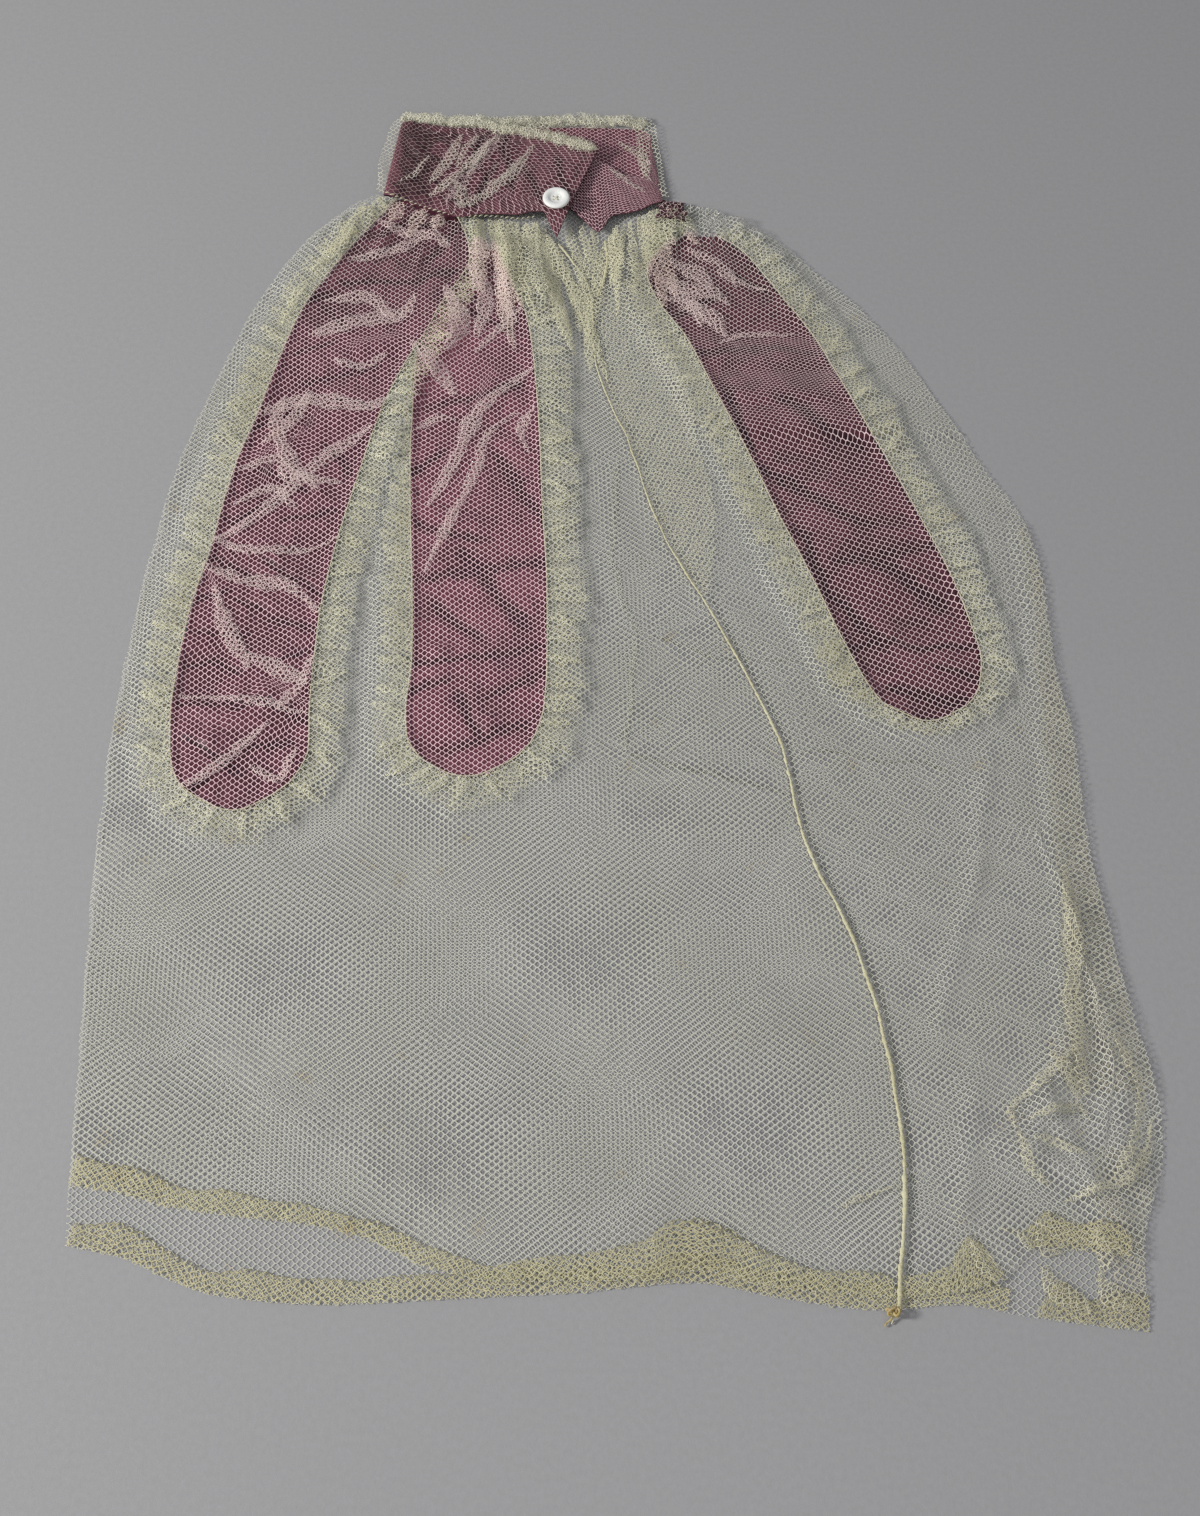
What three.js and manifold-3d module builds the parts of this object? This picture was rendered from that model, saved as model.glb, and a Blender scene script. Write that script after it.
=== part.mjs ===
// False shirt front (chemisette) of cotton net with a mauve silk stand collar and three silk tabs, laid flat.
// Millimetres, +Z up. X runs across the garment, +Y towards the collar, and the surface it lies on is z = 0.
// The layers, from the surface up: back panel; silk tabs and their gathered frills; the two front panels,
// draped over them; hems, rolled edges and the collar. Every wall is its own closed solid, GAP apart.
import * as THREE from "three";
import Module from "manifold-3d";
import { mergeVertices } from "three/addons/utils/BufferGeometryUtils.js";

// ---------------------------------------------------------------- driving sizes
const GAP = 0.3; // between neighbouring cloths
const NET = 1.0; // wall that stands for one net panel
const SILK = 1.5; // wall of a silk tab with its crumples
const FRILL_WALL = 1.2; // wall of the gathered net
const FRILL_RISE = 0.8; // how far the gathers lift it
const FRILL_WIDTH = 14.5; // frill's reach beyond the silk
const FRILL_STEP = 8.5; // spacing of its gathers along the silk's edge
const COLLAR_WALL = 1.2; // silk, net and their shared seam allowance
const COLLAR_FRILL = 6.0; // width of the ruched frill along the collar's top
const ROLL_R = 1.6; // radius of the rolled and whipped front edge
const HEM_DEPTH = 9.0; // depth of the turned hems
const GATHER_RISE = 0.9; // rise of the fronts' gathers at the neck seam
const GATHER_REACH = 0.22; // share of the front's length that they run down
const BUTTON_D = 13.3;
const BUTTON_T = 3.2;
const BUTTON_AT = { x: -25, y: 242 };

const Z_BACK = 0; // underside of the back panel
const Z_TAB = Z_BACK + NET + GAP; // underside of the silk and the frills
const LIFT = SILK + GAP + 0.5; // how far the tabs and frills lift the fronts
const Z_FRONT = Z_TAB; // underside of the fronts where nothing lies under them

// ---------------------------------------------------------------- tables
// Half outline of the body at heights y: left and right sides.
const SIDES = [
  { y: 249, left: -113, right: 25 }, { y: 246, left: -119, right: 33 }, { y: 243, left: -126, right: 46 },
  { y: 236, left: -134, right: 62 },
  { y: 226, left: -143, right: 76 }, { y: 214, left: -151, right: 89 }, { y: 200, left: -159, right: 101 },
  { y: 180, left: -168, right: 119 }, { y: 160, left: -175, right: 133 }, { y: 120, left: -187, right: 154 },
  { y: 80, left: -197, right: 173 }, { y: 52, left: -201, right: 187 }, { y: 20, left: -205, right: 191 },
  { y: -20, left: -208, right: 192 }, { y: -60, left: -210, right: 196 }, { y: -100, left: -210, right: 196 },
  { y: -140, left: -209, right: 200 }, { y: -180, left: -207, right: 205 }, { y: -220, left: -205, right: 211 },
  { y: -245, left: -204, right: 208 }, { y: -274, left: -202, right: 198 }, { y: -306, left: -200, right: 196 },
];
// The line where the two fronts meet; they part at the top in a small slit.
const OPENING = [
  { y: 219, left: -24.5, right: -1 }, { y: 208, left: -17, right: 0 }, { y: 197, left: -11, right: -1.5 },
  { y: 188, left: -8.5, right: -4.2 }, { y: 180, left: -7.2, right: -6.6 }, { y: 160, left: -7, right: -7 },
  { y: 140, left: -4.5, right: -4.5 }, { y: 120, left: 1.5, right: 1.5 }, { y: 100, left: 9, right: 9 },
  { y: 60, left: 20, right: 20 }, { y: 40, left: 27.5, right: 27.5 }, { y: 0, left: 47.5, right: 47.5 },
  { y: -40, left: 65, right: 65 }, { y: -62, left: 73, right: 73 }, { y: -100, left: 79, right: 79 },
  { y: -120, left: 85, right: 85 }, { y: -140, left: 94, right: 94 }, { y: -180, left: 105, right: 105 },
  { y: -205, left: 109, right: 109 }, { y: -240, left: 111.5, right: 111.5 }, { y: -300, left: 105, right: 105 },
];
// Top edges at the neck seam, and lower edges at the hem.
const NECK_BACK = [{ x: -113, y: 249 }, { x: -60, y: 250 }, { x: -20, y: 249 }, { x: 33, y: 246 }];
const NECK_LEFT = [
  { x: -113, y: 248.4 }, { x: -92, y: 240.2 }, { x: -72, y: 232.2 }, { x: -53, y: 233.4 }, { x: -42, y: 231.4 },
  { x: -33.4, y: 231.8 }, { x: -26, y: 217 },
];
const NECK_RIGHT = [{ x: -1, y: 221.5 }, { x: 4, y: 231.4 }, { x: 13, y: 234.4 }, { x: 22, y: 239.6 }, { x: 30, y: 243 }];
const HEM_BACK = [
  { x: -202, y: -274 }, { x: -180, y: -279 }, { x: -162, y: -287 }, { x: -143, y: -293 }, { x: -103, y: -296 },
  { x: -62, y: -294 }, { x: -18, y: -292 }, { x: 31, y: -288 }, { x: 59, y: -293 }, { x: 100, y: -298 },
  { x: 128, y: -296 }, { x: 150, y: -300 }, { x: 196, y: -306 },
];
const HEM_LEFT = [
  { x: -204, y: -251 }, { x: -187, y: -254 }, { x: -168, y: -259 }, { x: -142, y: -263 }, { x: -115, y: -266 },
  { x: -93, y: -271 }, { x: -66, y: -283 }, { x: -40, y: -288 }, { x: 17, y: -287 }, { x: 31, y: -284 },
  { x: 59, y: -290 }, { x: 106, y: -294 },
];
const HEM_RIGHT = [
  { x: 104, y: -294 }, { x: 128, y: -292 }, { x: 145, y: -287 }, { x: 158, y: -275 }, { x: 175, y: -276 },
  { x: 198, y: -280 },
];
// Silk tabs at heights y.
const TAB_LEFT = [
  { y: 235, left: -108, right: -87 }, { y: 220, left: -122, right: -74 }, { y: 200, left: -134, right: -72 },
  { y: 180, left: -144, right: -81 }, { y: 150, left: -153, right: -93 }, { y: 120, left: -160, right: -104 },
  { y: 80, left: -170, right: -113 }, { y: 40, left: -176, right: -121 }, { y: 0, left: -183, right: -126 },
  { y: -40, left: -185.5, right: -127 }, { y: -62, left: -184, right: -126 }, { y: -75, left: -181, right: -130 },
  { y: -84, left: -174, right: -138 }, { y: -89, left: -165, right: -146 },
];
const TAB_MIDDLE = [
  { y: 214, left: -57, right: -49 }, { y: 195, left: -63, right: -47.5 }, { y: 180, left: -69, right: -45 },
  { y: 160, left: -77, right: -38 }, { y: 130, left: -85, right: -34.5 }, { y: 100, left: -89, right: -31.5 },
  { y: 60, left: -88.5, right: -29.5 }, { y: 20, left: -86, right: -27 }, { y: -20, left: -84.5, right: -26.5 },
  { y: -42, left: -86, right: -27.5 }, { y: -56, left: -85, right: -31 }, { y: -67, left: -79, right: -39 },
  { y: -73, left: -70, right: -49 },
];
const TAB_RIGHT = [
  { y: 224, left: 38, right: 53 }, { y: 214, left: 26, right: 65 }, { y: 200, left: 19, right: 74 },
  { y: 185, left: 23, right: 83 }, { y: 160, left: 37, right: 97 }, { y: 130, left: 49, right: 110 },
  { y: 100, left: 61, right: 122 }, { y: 60, left: 75.5, right: 138 }, { y: 20, left: 91, right: 152 },
  { y: 0, left: 98, right: 157 }, { y: -18, left: 105, right: 160 }, { y: -32, left: 111, right: 158 },
  { y: -41, left: 117, right: 153 }, { y: -46, left: 126, right: 145 },
];
// How far each frill may reach, left and right, where a neighbour lies close (share of FRILL_WIDTH, at heights y).
const REACH_LEFT = [
  { y: 235, left: 0.35, right: 0.1 }, { y: 200, left: 0.8, right: 0.1 }, { y: 160, left: 1, right: 0.3 },
  { y: 120, left: 1, right: 0.5 }, { y: 80, left: 1, right: 0.78 }, { y: 40, left: 1, right: 1 }, { y: -90, left: 1, right: 1 },
];
const REACH_MIDDLE = [
  { y: 214, left: 0.1, right: 0.55 }, { y: 180, left: 0.1, right: 0.9 }, { y: 160, left: 0.28, right: 1.1 },
  { y: 120, left: 0.5, right: 1.1 }, { y: 80, left: 0.78, right: 1.1 }, { y: 40, left: 1, right: 1.1 },
  { y: -90, left: 1, right: 1.1 },
];
const REACH_RIGHT = [
  { y: 224, left: 0.3, right: 0.4 }, { y: 200, left: 0.8, right: 0.8 }, { y: 120, left: 1, right: 1 },
  { y: -20, left: 1, right: 0.95 }, { y: -40, left: 0.6, right: 0.6 }, { y: -50, left: 0.5, right: 0.5 },
];
// Inner edge of the net folded in at the right side.
const FOLD_IN = [
  { y: 52, left: 181.5 }, { y: 11, left: 184 }, { y: -40, left: 183 }, { y: -88, left: 182 }, { y: -133, left: 182 },
  { y: -177, left: 179 }, { y: -212, left: 176 },
];
// Largest folds of the fronts: soft ridges from one point to another.
const RIDGES = [
  { x0: 161, y0: -30, x1: 140, y1: -160, height: 1.4, width: 9 },
  { x0: 190, y0: -60, x1: 205, y1: -150, height: 1.6, width: 8 },
  { x0: 188, y0: -165, x1: 160, y1: -262, height: 3.0, width: 11 },
  { x0: 203, y0: -190, x1: 178, y1: -232, height: 2.4, width: 9 },
  { x0: 148, y0: -240, x1: 190, y1: -262, height: 2.6, width: 9 },
  { x0: -196, y0: -236, x1: -150, y1: -250, height: 0.9, width: 8 },
];
// The collar band, from the overlap's end round the left fold, along the back, round the right fold to the
// underlap's end: its top and bottom points and the height of its middle.
const BAND = [
  { xt: -5, yt: 275, xb: -24.5, yb: 219.5, z: 5.4 }, { xt: -16, yt: 277.5, xb: -31, yb: 235, z: 5.4 },
  { xt: -39, yt: 284, xb: -43, yb: 233.6, z: 5.4 }, { xt: -62, yt: 290.5, xb: -57, yb: 235.6, z: 5.4 },
  { xt: -83, yt: 292, xb: -75, yb: 234.4, z: 5.4 }, { xt: -96, yt: 295.5, xb: -96, yb: 243.6, z: 5.4 },
  { xt: -100.5, yt: 296.5, xb: -105, yb: 248, z: 5.1 }, { xt: -102.6, yt: 297, xb: -107.8, yb: 249.4, z: 4.2 },
  { xt: -103.2, yt: 297, xb: -108.6, yb: 250, z: 3.0 }, { xt: -102.6, yt: 297, xb: -107.8, yb: 250.4, z: 1.8 },
  { xt: -100.5, yt: 296.5, xb: -105, yb: 250.6, z: 0.8 }, { xt: -94, yt: 296, xb: -97, yb: 250.8, z: 0.6 },
  { xt: -60, yt: 296, xb: -60, yb: 251.2, z: 0.6 }, { xt: -20, yt: 295, xb: -18, yb: 250.6, z: 0.6 },
  { xt: 10, yt: 294, xb: 14, yb: 248.4, z: 0.6 }, { xt: 18.5, yt: 292, xb: 23, yb: 247.6, z: 0.7 },
  { xt: 21.5, yt: 286, xb: 26.6, yb: 247, z: 1.2 }, { xt: 23, yt: 277, xb: 27.6, yb: 246.4, z: 2.0 },
  { xt: 23, yt: 268, xb: 26.8, yb: 245.2, z: 2.8 }, { xt: 20.5, yt: 261, xb: 23.6, yb: 243, z: 3.3 },
  { xt: 11, yt: 260, xb: 13, yb: 236.2, z: 3.4 }, { xt: 2, yt: 265, xb: 2.5, yb: 232.6, z: 3.4 },
  { xt: -5, yt: 268, xb: -4.4, yb: 223.4, z: 3.4 }, { xt: -12, yt: 270, xb: -16.6, yb: 237, z: 3.4 },
];

// ---------------------------------------------------------------- helpers
const clamp01 = (t) => Math.min(1, Math.max(0, t));
const smooth = (t) => { const c = clamp01(t); return c * c * (3 - 2 * c); };
// Straight-line reading of a table: value of column `col` at `at` on column `key`.
function read(table, key, at, col) {
  const up = table[0][key] < table[table.length - 1][key];
  const rows = up ? table : [...table].reverse();
  if (at <= rows[0][key]) return rows[0][col];
  for (let i = 1; i < rows.length; i++) {
    if (at <= rows[i][key]) {
      const t = (at - rows[i - 1][key]) / (rows[i][key] - rows[i - 1][key]);
      return rows[i - 1][col] + t * (rows[i][col] - rows[i - 1][col]);
    }
  }
  return rows[rows.length - 1][col];
}
// Points along a polyline: its own corners, and equal steps of about `step` between them.
function stepped(points, step) {
  const out = [points[0]];
  for (let i = 1; i < points.length; i++) {
    const [a, b] = [points[i - 1], points[i]];
    const n = Math.max(1, Math.round(Math.hypot(b[0] - a[0], b[1] - a[1]) / step));
    for (let k = 1; k <= n; k++) out.push([a[0] + ((b[0] - a[0]) * k) / n, a[1] + ((b[1] - a[1]) * k) / n]);
  }
  return out;
}
// Mitred outward normal at point i of a line that runs anticlockwise seen from above.
function mitre(points, i) {
  const unit = (a, b) => { const l = Math.hypot(b[0] - a[0], b[1] - a[1]); return [(b[1] - a[1]) / l, -(b[0] - a[0]) / l]; };
  const n1 = i > 0 ? unit(points[i - 1], points[i]) : unit(points[0], points[1]);
  const n2 = i < points.length - 1 ? unit(points[i], points[i + 1]) : n1;
  const k = 1 + n1[0] * n2[0] + n1[1] * n2[1];
  return [(n1[0] + n2[0]) / k, (n1[1] + n2[1]) / k];
}
// A closed wall between a lower and an upper grid of points, rows by columns. The grids' rows run so that
// (row direction) x (column direction) points down.
function wallSolid(lower, upper) {
  const rows = lower.length, cols = lower[0].length, pos = [], idx = [];
  for (const g of [lower, upper]) for (const r of g) for (const p of r) pos.push(...p);
  const at = (s, i, j) => s * rows * cols + i * cols + j;
  const quad = (a, b, c, d) => idx.push(a, b, c, a, c, d);
  for (let i = 0; i < rows - 1; i++) {
    for (let j = 0; j < cols - 1; j++) {
      quad(at(0, i, j), at(0, i + 1, j), at(0, i + 1, j + 1), at(0, i, j + 1));
      quad(at(1, i, j), at(1, i, j + 1), at(1, i + 1, j + 1), at(1, i + 1, j));
    }
  }
  for (let i = 0; i < rows - 1; i++) {
    quad(at(0, i, 0), at(1, i, 0), at(1, i + 1, 0), at(0, i + 1, 0));
    quad(at(0, i, cols - 1), at(0, i + 1, cols - 1), at(1, i + 1, cols - 1), at(1, i, cols - 1));
  }
  for (let j = 0; j < cols - 1; j++) {
    quad(at(0, 0, j), at(0, 0, j + 1), at(1, 0, j + 1), at(1, 0, j));
    quad(at(0, rows - 1, j), at(1, rows - 1, j), at(1, rows - 1, j + 1), at(0, rows - 1, j + 1));
  }
  const g = new THREE.BufferGeometry();
  g.setAttribute("position", new THREE.Float32BufferAttribute(pos, 3));
  g.setIndex(idx);
  return outward(g);
}
// Turns the faces out if the volume comes out negative.
function outward(g) {
  const p = g.getAttribute("position"), ix = g.getIndex().array;
  let v = 0;
  for (let t = 0; t < ix.length; t += 3) {
    const [a, b, c] = [ix[t], ix[t + 1], ix[t + 2]].map((k) => new THREE.Vector3().fromBufferAttribute(p, k));
    v += a.dot(b.cross(c));
  }
  if (v < 0) for (let t = 0; t < ix.length; t += 3) [ix[t + 1], ix[t + 2]] = [ix[t + 2], ix[t + 1]];
  g.computeVertexNormals();
  return g;
}
// A panel's plan: a patch between its left and right sides and its top and bottom edges (u across, v down).
function patch(left, right, top, bottom) {
  const c00 = left(0), c10 = right(0), c01 = left(1), c11 = right(1);
  return (u, v) => [0, 1].map((k) =>
    (1 - v) * top(u)[k] + v * bottom(u)[k] + (1 - u) * left(v)[k] + u * right(v)[k]
    - ((1 - u) * (1 - v) * c00[k] + u * (1 - v) * c10[k] + (1 - u) * v * c01[k] + u * v * c11[k]));
}
const side = (table, col, y0, y1, dx = 0) => (v) => { const y = y0 + (y1 - y0) * v; return [read(table, "y", y, col) + dx, y]; };
// an edge read from its table between the ends a and b of the sides, which it meets exactly
const edge = (table, [xa, ya], [xb, yb]) => (u) => {
  const at = (x) => read(table, "x", x, "y");
  const x = xa + (xb - xa) * u;
  return [x, at(x) + (1 - u) ** 8 * (ya - at(xa)) + u ** 8 * (yb - at(xb))];
};
// a panel between two sides, with its top and bottom edges read from their tables
const panel = (left, right, top, bottom) => patch(left, right, edge(top, left(0), right(0)), edge(bottom, left(1), right(1)));

// ---------------------------------------------------------------- heights of the fronts
// 1 over a tab and its frill, falling to 0 outside them.
function overTab(tab, x, y) {
  const y0 = tab[tab.length - 1].y, y1 = tab[0].y;
  const yc = Math.min(y1, Math.max(y0 + 20, y));
  const dx = Math.max(read(tab, "y", yc, "left") - x, x - read(tab, "y", yc, "right"), 0);
  const dy = Math.max(y0 - y, 0);
  return smooth((46 - Math.hypot(dx, dy)) / 18);
}
const overHem = (x, y) => smooth((34 - (y - read(HEM_BACK, "x", x, "y"))) / 12);
const overFold = (x, y) => smooth((x - read(FOLD_IN, "y", y, "left") + 20) / 10) * smooth((76 - y) / 14) * smooth((y + 236) / 14);
function ridge(r, x, y) {
  const dx = r.x1 - r.x0, dy = r.y1 - r.y0, len2 = dx * dx + dy * dy;
  const t = clamp01(((x - r.x0) * dx + (y - r.y0) * dy) / len2);
  const d = Math.hypot(x - r.x0 - t * dx, y - r.y0 - t * dy);
  return r.height * smooth(1 - d / (r.width * 1.6));
}
function frontZ(x, y) {
  const over = Math.max(
    LIFT * Math.max(overTab(TAB_LEFT, x, y), overTab(TAB_MIDDLE, x, y), overTab(TAB_RIGHT, x, y)),
    (NET + GAP) * Math.max(overHem(x, y), overFold(x, y)),
  );
  return Z_FRONT + over + RIDGES.reduce((s, r) => s + ridge(r, x, y), 0);
}

// ---------------------------------------------------------------- pieces
const parts = new THREE.Group();
function add(name, geometry, colour, roughness, metalness = 0) {
  const mesh = new THREE.Mesh(geometry, new THREE.MeshStandardMaterial({ color: colour, roughness, metalness }));
  mesh.name = name;
  parts.add(mesh);
}
const CREAM = 0xcfcfae, SILK_COLOUR = 0x85556b, WHITE = 0xf2f2ee;

// rows of a panel: even down to the hem, then one row of the hem's depth; gathers rise along every second
// column from the neck seam and die out below it
function panelGrid(shape, cols, rows, hemShare, height, gather = 0) {
  const vs = [];
  for (let i = 0; i < rows; i++) vs.push(((1 - hemShare) * i) / (rows - 1));
  vs.push(1);
  return vs.map((v) => {
    const row = [];
    for (let j = 0; j < cols; j++) {
      const [x, y] = shape(j / (cols - 1), v);
      const rise = j % 2 ? gather * smooth(1 - v / (GATHER_REACH * (0.6 + 0.4 * ((j * 3) % 4) / 3))) : 0;
      row.push([x, y, height(x, y) + rise]);
    }
    return row;
  });
}
const raise = (grid, dz) => grid.map((row) => row.map(([x, y, z]) => [x, y, z + dz]));

// back panel, flat on the surface, and its hem
const backShape = panel(side(SIDES, "left", 249, -274), side(SIDES, "right", 246, -306), NECK_BACK, HEM_BACK);
const backGrid = panelGrid(backShape, 8, 30, HEM_DEPTH / 540, () => Z_BACK);
add("back_panel", wallSolid(backGrid, raise(backGrid, NET)), CREAM, 0.95);
const backHemGrid = raise(panelGrid(backShape, 28, 2, HEM_DEPTH / 540, () => Z_BACK).slice(1), NET + GAP);
add("back_hem", wallSolid(backHemGrid, raise(backHemGrid, NET)), CREAM, 0.95);

// fronts, draped over the tabs, and their hems
const EDGE_OFF = ROLL_R + 2 * GAP;
const leftShape = panel(side(SIDES, "left", 249, -251), side(OPENING, "left", 217, -294, -EDGE_OFF), NECK_LEFT, HEM_LEFT);
const leftGrid = panelGrid(leftShape, 14, 31, HEM_DEPTH / 500, frontZ, GATHER_RISE);
add("front_left", wallSolid(leftGrid, raise(leftGrid, NET)), CREAM, 0.95);
const leftHem = raise(leftGrid.slice(-2), NET + GAP);
add("front_left_hem", wallSolid(leftHem, raise(leftHem, NET)), CREAM, 0.95);

const rightShape = panel(side(OPENING, "right", 221.5, -294, EDGE_OFF), side(SIDES, "right", 243, -280), NECK_RIGHT, HEM_RIGHT);
const rightGrid = panelGrid(rightShape, 10, 31, HEM_DEPTH / 500, frontZ, GATHER_RISE);
add("front_right", wallSolid(rightGrid, raise(rightGrid, NET)), CREAM, 0.95);
const rightHem = raise(rightGrid.slice(-2), NET + GAP);
add("front_right_hem", wallSolid(rightHem, raise(rightHem, NET)), CREAM, 0.95);

// net folded in at the right side, between back and front
const foldGrid = [];
for (let i = 0; i <= 14; i++) {
  const y = 50 - (i * 256) / 14;
  const a = read(FOLD_IN, "y", y, "left"), b = read(SIDES, "y", y, "right") - 0.6;
  foldGrid.push([0, 0.5, 1].map((u) => [a + u * (b - a), y, Z_TAB]));
}
add("side_fold_right", wallSolid(foldGrid, raise(foldGrid, NET)), CREAM, 0.95);

// silk tabs
for (const [name, tab] of [["tab_left", TAB_LEFT], ["tab_middle", TAB_MIDDLE], ["tab_right", TAB_RIGHT]]) {
  const grid = tab.map((r) => [0, 0.25, 0.5, 0.75, 1].map((u) => [r.left + u * (r.right - r.left), r.y, Z_TAB]));
  add(name, wallSolid(grid, raise(grid, SILK)), SILK_COLOUR, 0.45);
}

// gathered frills round the tabs
function frill(tab, reach) {
  const pts = stepped([...tab.map((r) => [r.left, r.y]), ...[...tab].reverse().map((r) => [r.right, r.y])], FRILL_STEP);
  const lowest = pts.reduce((m, p, i) => (p[1] < pts[m][1] ? i : m), 0);
  return pts.map((p, i) => {
    const n = mitre(pts, i);
    const full = Math.max(FRILL_WIDTH * read(reach, "y", p[1], i <= lowest ? "left" : "right"), 4 * GAP);
    const up = i % 2;
    return [0, 0.5, 1].map((u) => {
      const w = 1.5 * GAP + u * full * (1 - 0.08 * up);
      return [p[0] + n[0] * w, p[1] + n[1] * w, Z_TAB + up * FRILL_RISE * u];
    });
  });
}
for (const [name, tab, reach] of [
  ["frill_left", TAB_LEFT, REACH_LEFT], ["frill_middle", TAB_MIDDLE, REACH_MIDDLE], ["frill_right", TAB_RIGHT, REACH_RIGHT],
]) {
  const grid = frill(tab, reach);
  add(name, wallSolid(grid, raise(grid, FRILL_WALL)), CREAM, 0.95);
}

// rolled edges: an eight-sided roll along the meeting line of the fronts, and one along the slit's other side
function roll(points, radius, sides = 8) {
  const rings = points.map((p, i) => {
    const a = points[Math.max(0, i - 1)], b = points[Math.min(points.length - 1, i + 1)];
    const t = new THREE.Vector3(b[0] - a[0], b[1] - a[1], b[2] - a[2]).normalize();
    const s = new THREE.Vector3(0, 0, 1).cross(t).normalize(), u = t.clone().cross(s);
    const ring = [];
    for (let k = 0; k < sides; k++) {
      const w = (2 * Math.PI * (k + 0.5)) / sides;
      ring.push([0, 1, 2].map((c) => p[c] + radius * (Math.cos(w) * s.getComponent(c) + Math.sin(w) * u.getComponent(c))));
    }
    return ring;
  });
  const pos = rings.flat(2), idx = [], n = sides;
  for (let i = 0; i < rings.length - 1; i++) {
    for (let k = 0; k < n; k++) {
      const a = i * n + k, b = i * n + ((k + 1) % n), c = a + n, d = b + n;
      idx.push(a, b, d, a, d, c);
    }
  }
  for (let k = 1; k < n - 1; k++) idx.push(0, k + 1, k, (rings.length - 1) * n, (rings.length - 1) * n + k, (rings.length - 1) * n + k + 1);
  const g = new THREE.BufferGeometry();
  g.setAttribute("position", new THREE.Float32BufferAttribute(pos, 3));
  g.setIndex(idx);
  return outward(g);
}
const rollPoints = [];
for (let i = 0; i <= 34; i++) {
  const y = 214 - (i * (214 + 295)) / 34, x = read(OPENING, "y", y, "left");
  rollPoints.push([x, y, frontZ(x, y) + ROLL_R]);
}
add("centre_roll", roll(rollPoints, ROLL_R), CREAM, 0.9);
const slitPoints = [];
for (let i = 0; i <= 3; i++) {
  const y = 217 - i * 8.4, x = read(OPENING, "y", y, "right");
  slitPoints.push([x, y, frontZ(x, y) + ROLL_R]);
}
add("slit_roll", roll(slitPoints, ROLL_R - 0.4), CREAM, 0.9);

// knotted thread end at the foot of the roll
const knot = new THREE.SphereGeometry(1, 10, 8).toNonIndexed();
knot.deleteAttribute("normal"); knot.deleteAttribute("uv");
const knotGeometry = mergeVertices(knot, 1e-5);
knotGeometry.scale(2.6, 2.2, 1.9);
knotGeometry.translate(104, -300.6, 3.6);
add("hem_knot", outward(knotGeometry), 0xa9803f, 0.9);

// ---------------------------------------------------------------- collar
const bandRows = [0, 1 / 3, 2 / 3, 1];
const bandMid = BAND.map((s) => bandRows.map((w) => [s.xt + w * (s.xb - s.xt), s.yt + w * (s.yb - s.yt), s.z]));
// wall either side of a middle surface, along its own normal; the middle surface bends only about Y
function bandWall(mid, half) {
  const offset = (sign) => mid.map((row, i) => row.map((p, j) => {
    const a = mid[Math.max(0, i - 1)][j], b = mid[Math.min(mid.length - 1, i + 1)][j];
    const l = Math.hypot(b[0] - a[0], b[2] - a[2]) || 1;
    return [p[0] + sign * half * ((b[2] - a[2]) / l), p[1], p[2] - sign * half * ((b[0] - a[0]) / l)];
  }));
  return wallSolid(offset(-1), offset(1));
}
add("collar_band", bandWall(bandMid, COLLAR_WALL / 2), SILK_COLOUR, 0.45);

// ruched frill along the collar's top edge, from the overlap's end to the right fold
const frillRows = [];
for (let i = 0; i < 19; i++) {
  const s = BAND[i];
  const steps = i < 18 ? Math.max(1, Math.round(Math.hypot(BAND[i + 1].xt - s.xt, BAND[i + 1].yt - s.yt) / 7)) : 1;
  for (let k = 0; k < steps; k++) {
    const n = BAND[Math.min(i + 1, 18)], t = k / steps;
    const m = (c) => s[c] + t * (n[c] - s[c]);
    const lift = frillRows.length % 2 ? 0.5 : 0;
    const outX = m("xt") > 16 ? clamp01((m("xt") - 16) / 5) : 0;
    const dir = [outX * 0.9, Math.sqrt(1 - 0.81 * outX * outX)];
    frillRows.push([(4 + 2 * outX) * GAP, COLLAR_FRILL].map((d) => [m("xt") + dir[0] * d, m("yt") + dir[1] * d, m("z") + (d > 1 ? lift : 0)]));
  }
}
add("collar_frill", bandWall(frillRows, 0.6), CREAM, 0.95);

// ---------------------------------------------------------------- button
const wasm = await Module();
wasm.setup();
function toSolid(geometry) {
  const g = geometry.index ? geometry.toNonIndexed() : geometry.clone();
  for (const n of Object.keys(g.attributes)) if (n !== "position") g.deleteAttribute(n);
  const m = mergeVertices(g, 1e-4);
  return new wasm.Manifold(new wasm.Mesh({ numProp: 3, vertProperties: m.getAttribute("position").array, triVerts: Uint32Array.from(m.getIndex().array) }));
}
const R = BUTTON_D / 2;
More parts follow.
